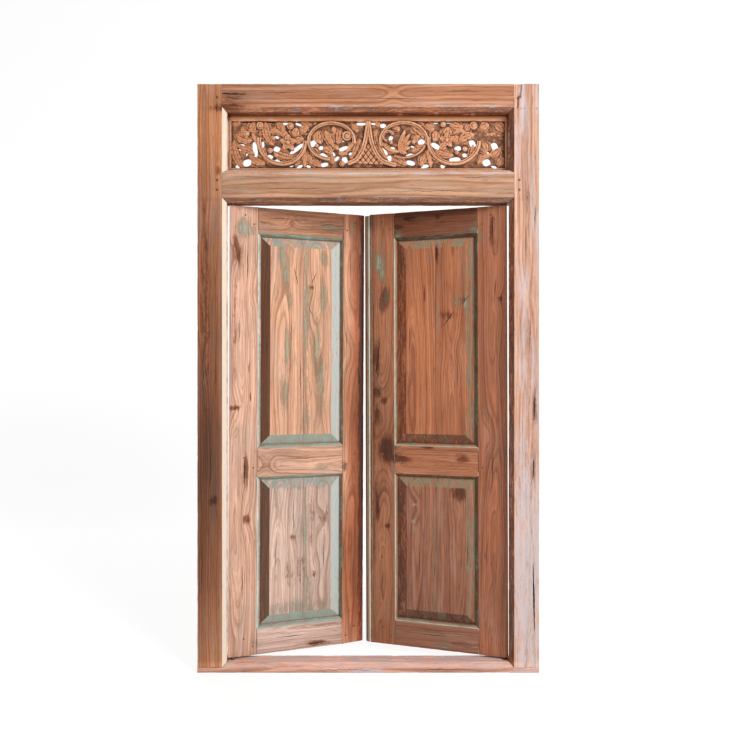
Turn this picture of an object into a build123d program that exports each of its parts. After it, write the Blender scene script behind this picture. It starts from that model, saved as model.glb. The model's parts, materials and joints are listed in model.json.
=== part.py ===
from build123d import *
import os
from math import cos, hypot, radians, sin

# A pair of panelled leaves in their frame, with a pierced and carved board above them.
# Units are millimetres. X runs across the doorway, -Y is the front and +Z is up.
# The origin is on the underside of the sill, half way along it and half way through it.

# Frame
frame_width = 1370.0
frame_height = 2360.0
frame_depth = 60.0
post_width = 115.0
head_height = 107.0
carving_height = 233.0
transom_height = 130.0
sill_height = 36.0
splay = 15.0                  # 45 degree bevel round both openings
stop_depth = 25.0             # what the leaves close against
rebate_width = 10.0
tenon_thickness = 18.0
tenon_length = 70.0
tenon_shoulder = 16.0
foot_tenon_length = 14.0
foot_tenon_width = 60.0
mortise_gap = 0.2
frame_peg_radius = 6.0
frame_peg_inset = 20.0
frame_peg_length = 44.0
transom_peg_shares = (0.35, 0.65)
peg_fit = 0.05
peg_sides = 6

# Splits in the frame: the long ones that run with the grain
shake_depth = 7.0
head_shakes = [(-588.0, 2321.0, -520.0, 2319.0, 5.0), (-512.0, 2320.0, -490.0, 2320.0, 3.5)]
post_shakes = [(664.0, 1008.0, 668.0, 1110.0, 4.0), (661.0, 776.0, 664.0, 868.0, 4.5),
               (666.0, 170.0, 660.0, 446.0, 5.0)]
break_depth = 4.0             # where the face of the right post has come away at the head joint
break_outline = [(584.9, 2361.0), (616.0, 2361.0), (615.0, 2334.0), (610.0, 2322.0), (613.0, 2306.0),
                 (603.0, 2300.0), (601.0, 2266.0), (596.0, 2262.0), (595.0, 2298.0), (584.9, 2304.0)]

# Carved board
board_setback = 38.0          # its front, behind the front of the frame
board_thickness = 18.0
tongue_thickness = 10.0
tongue_setback = 4.0
tongue_length = 10.0
groove_gap = 0.4
relief = 8.0                  # from the sunk ground up to the highest carving
top_border = 22.0
bottom_border = 19.0
side_border = 10.0

# Leaves
leaf_setback = 31.0
leaf_thickness = 29.0
leaf_top_gap = 6.0
leaf_bottom_gap = 7.0
pivot_offset = 16.0           # from the hinge edge of the leaf to its pivots
pivot_radius = 10.0
pivot_fit = 0.06
top_pin_depth = 24.0
bottom_pin_depth = 12.0
pin_end_gap = 2.0
pin_root = 20.0
left_open = 13.0              # degrees, as the leaves stand
right_open = 12.0
left_lean = 0.22              # degrees that the leaf has dropped at its free edge
right_lean = 0.18
meeting_line = -8.0           # free edge of the left leaf, from the middle of the doorway
meeting_gap = 2.0
left_hinge_stile = 114.0
left_meeting_stile = 92.0
right_hinge_stile = 117.0
right_meeting_stile = 106.0
bottom_rail = 106.0
lower_opening = 624.0
lock_rail = 121.0
top_rail = 107.0
moulding_width = 12.0
moulding_depth = 8.0
panel_tongue_setback = 13.0
panel_tongue_thickness = 7.0
panel_tongue_length = 11.0
panel_gap = 0.4
field_setback = 3.0
bevel_width = 38.0
board_joint = 0.6
left_board_share = 0.53       # the board on the hinge side, as a share of the panel
right_board_share = 0.50
leaf_tenon_setback = 10.0
leaf_tenon_thickness = 10.0
leaf_tenon_length = 72.0
leaf_tenon_shoulder = 18.0
leaf_peg_radius = 4.0
leaf_peg_length = 25.0
leaf_peg_near = 16.0
leaf_peg_far = 52.0
hinge_edge_round = 6.0
worn_top_width = 24.0         # bevel worn on the free edge of the left leaf
worn_top_drop = 4.5
worn_bottom_width = 78.0
worn_bottom_drop = 7.0
astragal_seat = 11.0          # width of the cover bead that lies on the right leaf
astragal_lap = 12.0           # how far it covers the left leaf
astragal_projection = 13.0
astragal_relief = 1.0
astragal_end_inset = 9.0

beyond = 1.0                  # how far a cut runs past the face that it leaves

# Worked out from the sizes above
front = -frame_depth / 2
back = frame_depth / 2
half_width = frame_width / 2
clear_x = half_width - post_width
face_x = clear_x + splay
carving_top = frame_height - head_height
transom_top = carving_top - carving_height
transom_bottom = transom_top - transom_height
leaf_height = transom_bottom - sill_height - leaf_top_gap - leaf_bottom_gap
leaf_front = front + leaf_setback
pivot_x = clear_x - pivot_offset
pivot_y = leaf_front + leaf_thickness / 2
leaf_middle = sill_height + leaf_bottom_gap + leaf_height / 2
lean_spread = leaf_height / 2 * (sin(radians(left_lean)) + sin(radians(right_lean)))
left_width = clear_x + meeting_line
right_width = clear_x - meeting_line - meeting_gap - lean_spread
board_front = front + board_setback
tenon_front = front + (frame_depth - tenon_thickness) / 2
upper_opening = leaf_height - bottom_rail - lower_opening - lock_rail - top_rail


# Shapes drawn in X and Z, then given their thickness in Y
def slab(face, y_front, y_back):
    return extrude(Plane.XZ.offset(-y_back) * face, amount=y_back - y_front, dir=(0, -1, 0))


def block(x0, x1, y0, y1, z0, z1):
    corner = Pos((x0 + x1) / 2, (y0 + y1) / 2, (z0 + z1) / 2)
    return corner * Box(abs(x1 - x0), abs(y1 - y0), abs(z1 - z0))


def rectangle(x0, x1, z0, z1):
    return Pos((x0 + x1) / 2, (z0 + z1) / 2) * Rectangle(abs(x1 - x0), abs(z1 - z0))


# A block with four sloping sides: wider by the width all round at its front than at its back
def splay_cut(x0, x1, z0, z1, width, depth, y_front):
    mouth, throat = [], []
    for x, z, way_x, way_z in ((x0, z0, -1, -1), (x1, z0, 1, -1), (x1, z1, 1, 1), (x0, z1, -1, 1)):
        mouth.append((x + way_x * width, y_front, z + way_z * width))
        throat.append((x, y_front + depth, z))
    outlines = [mouth, throat]
    outlines += [(mouth[k - 1], mouth[k], throat[k], throat[k - 1]) for k in range(4)]
    return Solid(Shell([Face(Wire.make_polygon(outline)) for outline in outlines]))


# Pegs are whittled to straight sides and driven into holes cut to match
def peg_blank(x, z, y_front, radius, length):
    return slab(Pos(x, z) * RegularPolygon(radius, peg_sides), y_front, y_front + length)


# Two arcs between two points, bent sideways by a share of the length
def lens(x0, z0, x1, z1, width, bend=0.0):
    length = hypot(x1 - x0, z1 - z0)
    nx, nz = (z0 - z1) / length, (x1 - x0) / length
    middle_x, middle_z = (x0 + x1) / 2 + nx * bend * length, (z0 + z1) / 2 + nz * bend * length
    half_x, half_z = nx * width / 2, nz * width / 2
    one = ThreePointArc((x0, z0), (middle_x + half_x, middle_z + half_z), (x1, z1))
    other = ThreePointArc((x1, z1), (middle_x - half_x, middle_z - half_z), (x0, z0))
    return make_face([one, other])


# Frame
frame_openings = [(-clear_x, clear_x, transom_top, carving_top),
                  (-clear_x, clear_x, sill_height, transom_bottom)]


def splayed(member):
    for opening in frame_openings:
        member -= splay_cut(*opening, splay, splay, front)
    return member


# The groove round the upper opening, which holds the carved board
def board_groove():
    reach = tongue_length + groove_gap
    tongue_front = board_front + tongue_setback
    return block(-clear_x - reach, clear_x + reach, tongue_front - groove_gap / 2,
                 tongue_front + tongue_thickness + groove_gap / 2,
                 transom_top - reach, carving_top + reach)


def rail_tenon(side, z0, z1, gap=0.0):
    return block(side * (clear_x - gap), side * (clear_x + tenon_length + gap),
                 tenon_front - gap, tenon_front + tenon_thickness + gap,
                 z0 + tenon_shoulder - gap, z1 - tenon_shoulder + gap)


def foot_tenon(side, gap=0.0):
    middle = side * (face_x + half_width) / 2
    foot = sill_height - splay
    return block(middle - foot_tenon_width / 2 - gap, middle + foot_tenon_width / 2 + gap,
                 tenon_front - gap, tenon_front + tenon_thickness + gap,
                 foot - foot_tenon_length - gap, foot + gap)


def frame_peg_places():
    heights = [(carving_top + frame_height) / 2]
    heights += [transom_bottom + transom_height * share for share in transom_peg_shares]
    return [(side * (face_x + frame_peg_inset), z) for side in (-1, 1) for z in heights]


def drilled(member):
    for x, z in frame_peg_places():
        member -= peg_blank(x, z, front, frame_peg_radius + peg_fit, frame_peg_length)
    return member


def make_post(side):
    inner, shoulder, outer = side * clear_x, side * face_x, side * half_width
    points = [(outer, sill_height - splay), (shoulder, sill_height - splay), (inner, sill_height),
              (inner, transom_bottom), (shoulder, transom_bottom + splay),
              (shoulder, transom_top - splay), (inner, transom_top),
              (inner, carving_top), (shoulder, carving_top + splay),
              (shoulder, frame_height), (outer, frame_height)]
    post = splayed(slab(Polygon(*points, align=None), front, back))
    post -= block(inner, inner + side * rebate_width, front + stop_depth, back,
                  sill_height, transom_bottom)
    post -= board_groove()
    post -= rail_tenon(side, carving_top, frame_height, mortise_gap)
    post -= rail_tenon(side, transom_bottom, transom_top, mortise_gap)
    post += foot_tenon(side)
    return drilled(post)


# A rail between the posts, mitred at its ends where it borders an opening
def make_rail(z0, z1, opens_below, opens_above):
    low = [(face_x, z0 + splay), (clear_x, z0)] if opens_below else [(face_x, z0)]
    high = [(clear_x, z1), (face_x, z1 - splay)] if opens_above else [(face_x, z1)]
    right_end = low[::-1] + high[::-1]
    left_end = [(-x, z) for x, z in reversed(right_end)]
    rail = splayed(slab(Polygon(*right_end, *left_end, align=None), front, back))
    for side in (-1, 1):
        rail += rail_tenon(side, z0, z1)
    rail -= board_groove()
    return drilled(rail)


def make_sill():
    foot = sill_height - splay
    points = [(half_width, 0), (half_width, foot), (face_x, foot), (clear_x, sill_height)]
    mirrored = [(-x, z) for x, z in reversed(points)]
    sill = splayed(slab(Polygon(*points, *mirrored, align=None), front, back))
    for side in (-1, 1):
        sill -= foot_tenon(side, mortise_gap)
        sill -= Pos(side * pivot_x, pivot_y, sill_height) * Cylinder(
            pivot_radius + pivot_fit, bottom_pin_depth, align=(Align.CENTER, Align.CENTER, Align.MAX))
    return sill


def make_transom():
    rail = make_rail(transom_bottom, transom_top, True, True)
    for side in (-1, 1):
        rail -= Pos(side * pivot_x, pivot_y, transom_bottom) * Cylinder(
            pivot_radius + pivot_fit, top_pin_depth + pin_end_gap,
            align=(Align.CENTER, Align.CENTER, Align.MIN))
    return rail


def make_head():
    head = make_rail(carving_top, frame_height, True, False)
    for *ends, width in head_shakes:
        head -= slab(lens(*ends, width), front, front + shake_depth)
    return head


def make_right_post():
    post = make_post(1)
    for *ends, width in post_shakes:
        post -= slab(lens(*ends, width), front, front + shake_depth)
    return post - slab(Polygon(*break_outline, align=None), front, front + break_depth)


def make_frame_pegs():
    return [peg_blank(x, z, front, frame_peg_radius, frame_peg_length) for x, z in frame_peg_places()]


# Carved board
# The ornament is drawn on a field of this size, from the middle of its lower edge,
# and is stretched with the opening.
pattern_width = 1140.0
pattern_height = 233.0

# Scrolls: centre, radii, first and last angle, width
scrolls = [
    (-352, 131, 95, 95, 172, 360, 18),
    (-151, 130, 93, 74, -8, 266, 15),
    (145, 133, 92, 72, -6, 198, 15),
    (145, 133, 90, 70, 244, 344, 10),
    (353, 134, 99, 96, 183, 358, 18),
    (82, 150, 20, 20, 20, 250, 11),
]
# Rolled ends: centre, radius
volutes = [
    (-442, 194, 16), (-319, 192, 15), (-87, 152, 21), (-401, 92, 11), (-376, 72, 9), (-211, 112, 8),
    (-107, 37, 12), (431, 193, 17), (307, 198, 12), (396, 98, 11), (362, 84, 9), (185, 127, 9),
    (93, 125, 8), (-498, 160, 13), (-390, 142, 11),
]
# Leaves: root, tip, width, bend as a share of the length, height above the ground
leaves = [
    # left end
    (-515, 21, -549, 140, 26, 0.10, 5.0), (-540, 156, -472, 134, 30, -0.15, 6.0),
    (-517, 186, -488, 152, 22, -0.15, 7.0), (-560, 202, -520, 206, 18, 0.0, 5.0),
    (-466, 207, -490, 166, 24, 0.1, 6.0), (-468, 188, -474, 148, 16, 0.0, 5.0),
    (-474, 160, -450, 112, 13, 0.0, 7.0), (-541, 118, -506, 66, 18, 0.2, 5.0),
    (-509, 108, -466, 77, 26, 0.0, 5.0), (-484, 70, -420, 36, 26, -0.1, 6.0),
    # left scroll
    (-421, 207, -386, 110, 26, -0.12, 6.5), (-414, 162, -348, 150, 16, 0.25, 6.5),
    (-386, 84, -288, 62, 30, -0.12, 6.0), (-428, 102, -396, 38, 20, -0.15, 7.0),
    (-371, 207, -347, 166, 26, 0.1, 6.0), (-300, 150, -294, 186, 26, 0.0, 6.0),
    (-279, 170, -243, 190, 24, 0.0, 6.5), (-300, 128, -262, 142, 24, 0.0, 6.0),
    (-278, 208, -226, 194, 16, 0.0, 5.0), (-352, 150, -330, 166, 30, 0.1, 6.0),
    # left ring
    (-205, 172, -193, 118, 26, -0.2, 6.5), (-234, 138, -208, 170, 14, 0.0, 5.5),
    (-177, 172, -139, 101, 19, 0.0, 7.0), (-143, 190, -136, 158, 15, 0.0, 6.0),
    (-117, 177, -128, 118, 28, 0.1, 6.0), (-56, 130, -94, 80, 13, 0.0, 7.0),
    (-240, 102, -196, 64, 26, 0.0, 6.0), (-181, 105, -146, 76, 26, 0.1, 6.0),
    (-140, 116, -118, 94, 12, 0.0, 5.5), (-122, 80, -82, 80, 14, 0.0, 5.5),
    (-152, 78, -143, 34, 20, 0.0, 5.5), (-66, 200, -42, 166, 20, 0.0, 5.5),
    (-230, 54, -190, 24, 22, 0.0, 5.5), (-33, 138, -75, 50, 26, 0.05, 6.0),
    # left trumpet
    (-263, 104, -259, 17, 17, 0.0, 7.5), (-266, 84, -300, 24, 20, 0.0, 6.0),
    (-254, 82, -228, 34, 20, 0.0, 6.0),
    # right of the arch
    (32, 176, 85, 48, 24, -0.1, 6.0), (14, 172, 33, 150, 18, 0.0, 5.5), (44, 190, 30, 214, 18, 0.0, 5.5),
    # right ring
    (50, 131, 141, 88, 13, -0.15, 6.5), (92, 188, 130, 172, 20, 0.2, 6.0),
    (176, 197, 229, 138, 28, 0.15, 6.5), (185, 120, 212, 156, 18, 0.1, 6.0),
    (194, 111, 234, 121, 18, -0.2, 6.0), (176, 88, 212, 98, 16, 0.0, 5.5),
    (114, 68, 160, 30, 24, 0.0, 6.0), (98, 68, 120, 26, 16, 0.0, 5.5),
    # right trumpet
    (244, 100, 257, 17, 16, 0.0, 7.5), (234, 78, 214, 24, 22, 0.0, 6.0),
    (262, 86, 292, 42, 26, 0.0, 6.0),
    # right scroll
    (324, 152, 326, 190, 30, 0.0, 6.0), (276, 172, 268, 128, 26, 0.1, 6.0),
    (344, 130, 368, 152, 24, 0.0, 6.0), (316, 116, 292, 100, 24, 0.0, 6.0),
    (346, 160, 408, 156, 15, 0.25, 6.5), (372, 132, 436, 158, 28, 0.1, 6.0),
    (334, 198, 392, 184, 24, 0.0, 6.0), (236, 198, 270, 172, 22, 0.0, 6.0),
    (398, 172, 422, 198, 20, 0.1, 6.0), (429, 114, 402, 44, 20, 0.15, 7.0),
    (270, 90, 352, 74, 24, -0.12, 6.0),
    # right end
    (458, 182, 496, 198, 26, 0.1, 6.0), (464, 124, 486, 82, 30, 0.0, 5.5),
    (448, 38, 510, 80, 18, 0.1, 6.0), (520, 204, 556, 164, 30, 0.1, 5.0),
    (502, 66, 544, 104, 28, 0.0, 5.0), (530, 30, 556, 66, 24, 0.0, 5.0),
]
# Flowers: centre, radius, number of petals
flowers = [(-328, 124, 27, 5), (322, 134, 25, 5)]
# Fluted shell in the right ring: its root, the tips of its flutes, their width
shell_root = (124, 96)
shell_tips = [(152, 182), (173, 163), (179, 134), (174, 104), (158, 78)]
shell_flute = 21
# Holes cut right through: centre, half length, half width, angle
piercings = [
    (-535, 29, 10, 7, -14), (-519, 108, 15, 12, -86), (-502, 79, 11, 8, 50), (-497, 44, 16, 14, 15),
    (-464, 99, 30, 9, -81), (-436, 118, 14, 9, -85), (-403, 68, 12, 9, -22), (-375, 100, 13, 11, -28),
    (-374, 149, 9, 6, -31), (-362, 49, 23, 11, 0), (-342, 204, 14, 7, 0), (-317, 34, 10, 8, 0),
    (-292, 102, 33, 9, 37), (-285, 201, 14, 6, -23), (-282, 29, 12, 7, 14), (-245, 29, 9, 6, -22),
    (-228, 123, 18, 13, 37), (-193, 105, 9, 9, 0), (-181, 36, 16, 9, 11), (-181, 69, 19, 11, -38),
    (-144, 81, 11, 6, -55), (-129, 61, 12, 7, 50), (-102, 135, 7, 6, 0), (-102, 102, 20, 9, 21),
    (-96, 55, 14, 10, -73), (-73, 81, 8, 6, 55), (-29, 204, 18, 8, 3), (24, 205, 12, 7, 0),
    (55, 145, 13, 9, -46), (61, 196, 11, 10, 0), (62, 97, 25, 9, -56), (88, 62, 13, 10, 73),
    (93, 145, 12, 7, 73), (100, 104, 9, 7, 0), (112, 188, 11, 8, -11), (135, 90, 11, 7, 45),
    (172, 73, 17, 10, 23), (174, 44, 17, 10, -12), (182, 110, 8, 5, -17), (221, 127, 15, 14, -51),
    (230, 30, 18, 8, 7), (277, 208, 10, 5, 6), (277, 113, 19, 11, -33), (309, 34, 14, 8, 56),
    (333, 209, 14, 5, 2), (356, 55, 22, 12, 7), (368, 103, 13, 10, 20), (396, 75, 9, 9, 0),
    (428, 122, 16, 12, -68), (486, 45, 16, 13, 25), (490, 85, 7, 6, 0), (517, 27, 12, 6, -9),
    (520, 109, 18, 13, -69),
]
# The pointed arch: points of its right rib from the apex down, and of the shorter left one
rib_points = [(0, 214), (14, 124), (50, 56), (106, 32)]
left_rib_points = [(0, 214), (-14, 124), (-42, 62), (-78, 40)]
rib_width = 19.0
rib_cuts = 8
chisel_turn = 18.0            # degrees of a curve that one cut takes
lattice_pitch = 17.0
lattice_angle = 38.0
lattice_groove = 3.0
lattice_depth = 2.5
lattice_rows = 6              # on each side of the middle one
lattice_middle = 39.0         # height at which the middle grooves cross
arch_height = 5.0
stem_groove_width = 3.0
stem_groove_depth = 2.5
volute_cuts = 12
small_volute_cuts = 8
volute_height = 7.0
volute_groove = 2.5
volute_ring = 0.66            # outer radius of the groove, as a share of the volute's
rolled_from = 13
leaf_stations = [(0.0, 0.35), (0.3, 1.0), (0.68, 0.8)]      # share of the length, share of the width
vein_width = 2.6
vein_depth = 1.6
vein_inset = 0.12
veined_from = 6.5
flower_height = 6.5
heart_cuts = 8
heart_share = 0.36            # sizes of a flower's heart and petals, as shares of its radius
petal_reach = 1.35
petal_width = 0.95
border_setback = 2.0
piercing_sides = 8

across = 2 * clear_x / pattern_width
upward = carving_height / pattern_height
ground_front = board_front + relief
board_back = board_front + board_thickness


def place(x, z):
    return x * across, transom_top + z * upward


# A raised motif stands on the ground and reaches down to the back of the board
def raised(face, height):
    return slab(face, ground_front - height, board_back)


# Curves are chopped with a straight chisel, one cut after another
def scroll_band(x, z, radius_x, radius_z, first, last, width):
    outer, inner = [], []
    cuts = max(3, round((last - first) / chisel_turn))
    for cut in range(cuts + 1):
        angle = radians(first + (last - first) * cut / cuts)
        for line, grow in ((outer, width / 2), (inner, -width / 2)):
            line.append(place(x + (radius_x + grow) * cos(angle), z + (radius_z + grow) * sin(angle)))
    return Polygon(*outer, *reversed(inner), align=None)


def rib_line(points, sideways=0.0):
    along = Spline(*[place(*point) for point in points])
    line = []
    for cut in range(rib_cuts + 1):
        way = along % (cut / rib_cuts)
        line.append(along @ (cut / rib_cuts) + Vector(-way.Y, way.X) * sideways)
    return line


def rib_band(points, width):
    near, far = rib_line(points, width / 2), rib_line(points, -width / 2)
    return Polygon(*near, *reversed(far), align=None)


def arch_field():
    right, left = rib_line(rib_points), rib_line(left_rib_points)
    return Polygon(*right, *reversed(left[1:]), align=None)


def arch_lattice():
    cuts = []
    for turn in (lattice_angle, -lattice_angle):
        for row in range(-lattice_rows, lattice_rows + 1):
            x, z = place(row * lattice_pitch / cos(radians(lattice_angle)), lattice_middle)
            cuts.append(Pos(x, z) * Rot(0, 0, turn) * Rectangle(lattice_groove, pattern_height))
    return cuts


# A leaf is chopped out with straight cuts, three to a side, along a bent middle line
def leaf_outline(x0, z0, x1, z1, width, bend=0.0):
    length = hypot(x1 - x0, z1 - z0)
    way = Vector(x1 - x0, z1 - z0) / length
    sideways = Vector(-way.Y, way.X)
    near, far = [], []
    for share, breadth in leaf_stations:
        middle = Vector(x0, z0) + way * share * length + sideways * bend * 4 * share * (1 - share) * length
        near.append(middle + sideways * width * breadth / 2)
        far.append(middle - sideways * width * breadth / 2)
    return Polygon(*near, Vector(x1, z1), *reversed(far), align=None)


# It has a vein along its middle if it is broad
def leaf(x0, z0, x1, z1, width, bend, height):
    body = raised(leaf_outline(*place(x0, z0), *place(x1, z1), width, bend), height)
    if height < veined_from:
        return body
    ends = []
    for share in (vein_inset, 1 - vein_inset):
        bulge = bend * 4 * share * (1 - share)
        ends += place(x0 + (x1 - x0) * share + (z0 - z1) * bulge, z0 + (z1 - z0) * share + (x1 - x0) * bulge)
    vein = leaf_outline(*ends, vein_width, bend * (1 - 2 * vein_inset))
    top = ground_front - height
    return body - slab(vein, top, top + vein_depth)


def volute(x, z, radius):
    at = Pos(*place(x, z))
    if radius < rolled_from:
        return raised(at * RegularPolygon(radius, small_volute_cuts), volute_height)
    roll = raised(at * RegularPolygon(radius, volute_cuts), volute_height)
    groove_radius = radius * volute_ring
    ring = at * (RegularPolygon(groove_radius, volute_cuts)
                 - RegularPolygon(groove_radius - volute_groove, volute_cuts))
    top = ground_front - volute_height
    return roll - slab(ring, top, top + vein_depth)


def flower(x, z, radius, petals):
    centre = place(x, z)
    parts = [raised(Pos(*centre) * RegularPolygon(radius * heart_share, heart_cuts), relief)]
    for petal in range(petals):
        turn = radians(90 + petal * 360 / petals)
        reach = radius * petal_reach
        tip = (centre[0] + reach * cos(turn), centre[1] + reach * sin(turn))
        parts.append(raised(leaf_outline(*centre, *tip, radius * petal_width), flower_height))
    return parts


def shell():
    flutes = []
    for tip in shell_tips:
        outline = leaf_outline(*place(*shell_root), *place(*tip), shell_flute)
        flutes.append(raised(outline, flower_height))
    return flutes


# The tongue that runs round the board and lies in the groove
def board_tongue():
    tongue_front = board_front + tongue_setback
    depth = (tongue_front, tongue_front + tongue_thickness)
    outer = block(-clear_x - tongue_length, clear_x + tongue_length, *depth,
                  transom_top - tongue_length, carving_top + tongue_length)
    return outer - block(-clear_x, clear_x, *depth, transom_top, carving_top)


# A piercing is chopped with a few straight cuts
def piercing(x, z, half_length, half_width, turn):
    corners = []
    for side in range(piercing_sides):
        angle = radians((side + 0.5) * 360 / piercing_sides)
        reach = 1 / max(abs(cos(angle)), abs(sin(angle)))
        corners.append((half_length * cos(angle) * reach, half_width * sin(angle) * reach))
    return Pos(*place(x, z)) * Rot(0, 0, turn) * Polygon(*corners, align=None)


def make_carved_board():
    ground = block(-clear_x, clear_x, ground_front, board_back, transom_top, carving_top)
    ground -= [slab(piercing(*row), board_front, board_back) for row in piercings]
    border_front = board_front + border_setback
    motifs = [board_tongue(),
              block(-clear_x, clear_x, border_front, board_back, carving_top - top_border, carving_top),
              block(-clear_x, clear_x, border_front, board_back, transom_top, transom_top + bottom_border)]
    for side in (-1, 1):
        motifs.append(block(side * clear_x, side * (clear_x - side_border), border_front, board_back,
                            transom_top, carving_top))
    motifs.append(raised(arch_field(), arch_height) - [slab(bar, board_front, ground_front - arch_height
                                                            + lattice_depth) for bar in arch_lattice()])
    motifs += [raised(scroll_band(*scroll), relief) for scroll in scrolls]
    motifs += [raised(rib_band(points, rib_width), relief) for points in (rib_points, left_rib_points)]
    motifs += [leaf(*row) for row in leaves]
    motifs += [volute(*row) for row in volutes]
    motifs += shell()
    for row in flowers:
        motifs += flower(*row)
    grooves = [slab(scroll_band(*scroll[:6], stem_groove_width), board_front,
                    board_front + stem_groove_depth) for scroll in scrolls]
    grooves += [slab(rib_band(points, stem_groove_width), board_front, board_front + stem_groove_depth)
                for points in (rib_points, left_rib_points)]
    return ground + motifs - grooves


# Leaves. Each is drawn closed and upright with its hinge edge on the left: X from the hinge edge,
# Z from its lower end, Y from its front face. The right leaf is the mirror image.
class Leaf:
    def __init__(self, side, width, hinge_stile, meeting_stile, board_share, lean, turned):
        self.side = side
        self.width = width
        self.hinge_inner = hinge_stile + moulding_width
        self.meeting_inner = width - meeting_stile - moulding_width
        self.board_share = board_share
        self.lean = lean
        self.turned = turned
        self.rail_edges = [bottom_rail, bottom_rail + lower_opening,
                           bottom_rail + lower_opening + lock_rail, leaf_height - top_rail]

    # Sight sizes of the two openings, inside their mouldings
    def openings(self):
        low, middle_low, middle_high, high = self.rail_edges
        return [(self.hinge_inner, self.meeting_inner, low + moulding_width, middle_low - moulding_width),
                (self.hinge_inner, self.meeting_inner, middle_high + moulding_width, high - moulding_width)]

    def rails(self):
        low, middle_low, middle_high, high = self.rail_edges
        return {"bottom_rail": (0, low), "lock_rail": (middle_low, middle_high),
                "top_rail": (high, leaf_height)}

    # The moulding and the panel groove run round each opening
    def moulded(self, member):
        for x0, x1, z0, z1 in self.openings():
            member -= splay_cut(x0, x1, z0, z1, moulding_width, moulding_depth, 0)
            reach = panel_tongue_length + panel_gap
            member -= block(x0 - reach, x1 + reach, panel_tongue_setback - panel_gap / 2,
                            panel_tongue_setback + panel_tongue_thickness + panel_gap / 2,
                            z0 - reach, z1 + reach)
        return member

    def tenon(self, at_hinge, z0, z1, gap=0.0):
        inner = self.hinge_inner if at_hinge else self.meeting_inner
        way = -1 if at_hinge else 1
        return block(inner - way * gap, inner + way * (leaf_tenon_length + gap),
                     leaf_tenon_setback - gap, leaf_tenon_setback + leaf_tenon_thickness + gap,
                     z0 + leaf_tenon_shoulder - gap, z1 - leaf_tenon_shoulder + gap)

    # Two pegs through each tenon, set on a slant
    def peg_places(self):
        places = []
        for inner, way in ((self.hinge_inner - moulding_width, -1), (self.meeting_inner + moulding_width, 1)):
            for z0, z1 in self.rails().values():
                quarter = (z1 - z0 - 2 * leaf_tenon_shoulder) / 4
                middle = (z0 + z1) / 2
                places.append((inner + way * leaf_peg_near, middle - quarter))
                places.append((inner + way * leaf_peg_far, middle + quarter))
        return places

    def drilled(self, member):
        for x, z in self.peg_places():
            member -= peg_blank(x, z, 0, leaf_peg_radius + peg_fit, leaf_peg_length)
        return member

    # A stile keeps its moulding beside the openings and is cut back to it, with mitres, at the rails
    def stile(self, at_hinge):
        edge = 0 if at_hinge else self.width
        inner = self.hinge_inner if at_hinge else self.meeting_inner
        shoulder = inner - moulding_width if at_hinge else inner + moulding_width
        low, middle_low, middle_high, high = self.rail_edges
        points = [(edge, 0), (shoulder, 0)]
        for z0, z1 in ((low, middle_low), (middle_high, high)):
            points += [(shoulder, z0), (inner, z0 + moulding_width), (inner, z1 - moulding_width),
                       (shoulder, z1)]
        points += [(shoulder, leaf_height), (edge, leaf_height)]
        member = self.moulded(slab(Polygon(*points, align=None), 0, leaf_thickness))
        for z0, z1 in self.rails().values():
            member -= self.tenon(at_hinge, z0, z1, mortise_gap)
        return self.drilled(member)

    def rail(self, z0, z1):
        left, right = self.hinge_inner - moulding_width, self.meeting_inner + moulding_width
        points = [(left, z0), (left, z1)]
        if z1 < leaf_height:
            points += [(left + moulding_width, z1 + moulding_width),
                       (right - moulding_width, z1 + moulding_width)]
        points += [(right, z1), (right, z0)]
        if z0 > 0:
            points += [(right - moulding_width, z0 - moulding_width),
                       (left + moulding_width, z0 - moulding_width)]
        member = self.moulded(slab(Polygon(*points, align=None), 0, leaf_thickness))
        member += self.tenon(True, z0, z1) + self.tenon(False, z0, z1)
        return self.drilled(member)

    # A raised panel: flat behind, bevelled in front, its edges held in the groove
    def panel(self, x0, x1, z0, z1):
        tongue_back = panel_tongue_setback + panel_tongue_thickness
        tongue = block(x0 - panel_tongue_length, x1 + panel_tongue_length,
                       panel_tongue_setback, tongue_back,
                       z0 - panel_tongue_length, z1 + panel_tongue_length)
        rise = panel_tongue_setback - field_setback
        raised_field = splay_cut(x0 + bevel_width, x1 - bevel_width, z0 + bevel_width, z1 - bevel_width,
                                 bevel_width, -rise, panel_tongue_setback)
        return tongue + raised_field

    # Each panel is two boards, side by side, with an open joint between them
    def panel_boards(self, opening):
        x0, x1, z0, z1 = opening
        whole = self.panel(*opening)
        joint = x0 + (x1 - x0) * self.board_share
        reach = panel_tongue_length + beyond
        hinge_side = block(x0 - reach, joint - board_joint / 2, 0, leaf_thickness, z0 - reach, z1 + reach)
        meeting_side = block(joint + board_joint / 2, x1 + reach, 0, leaf_thickness, z0 - reach, z1 + reach)
        return whole & hinge_side, whole & meeting_side

    # Stand the leaf up to its pivot line: lean it, then turn it open
    def upright(self, piece):
        return Rot(0, self.lean, 0) * Pos(-pivot_offset, -leaf_thickness / 2, -leaf_height / 2) * piece

    def hung(self, piece):
        standing = Pos(-pivot_x, pivot_y, leaf_middle) * Rot(0, 0, self.turned) * piece
        return standing if self.side < 0 else mirror(standing, about=Plane.YZ)

    # The pivots are worked on the ends of the hinge stile and stay upright in their sockets
    def pivots(self):
        lift = leaf_height / 2
        top_length = leaf_top_gap + top_pin_depth + pin_root
        bottom_length = leaf_bottom_gap + bottom_pin_depth + pin_root
        top = Pos(0, 0, lift - pin_root) * Cylinder(
            pivot_radius, top_length, align=(Align.CENTER, Align.CENTER, Align.MIN))
        bottom = Pos(0, 0, pin_root - lift) * Cylinder(
            pivot_radius, bottom_length, align=(Align.CENTER, Align.CENTER, Align.MAX))
        return top + bottom

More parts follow.
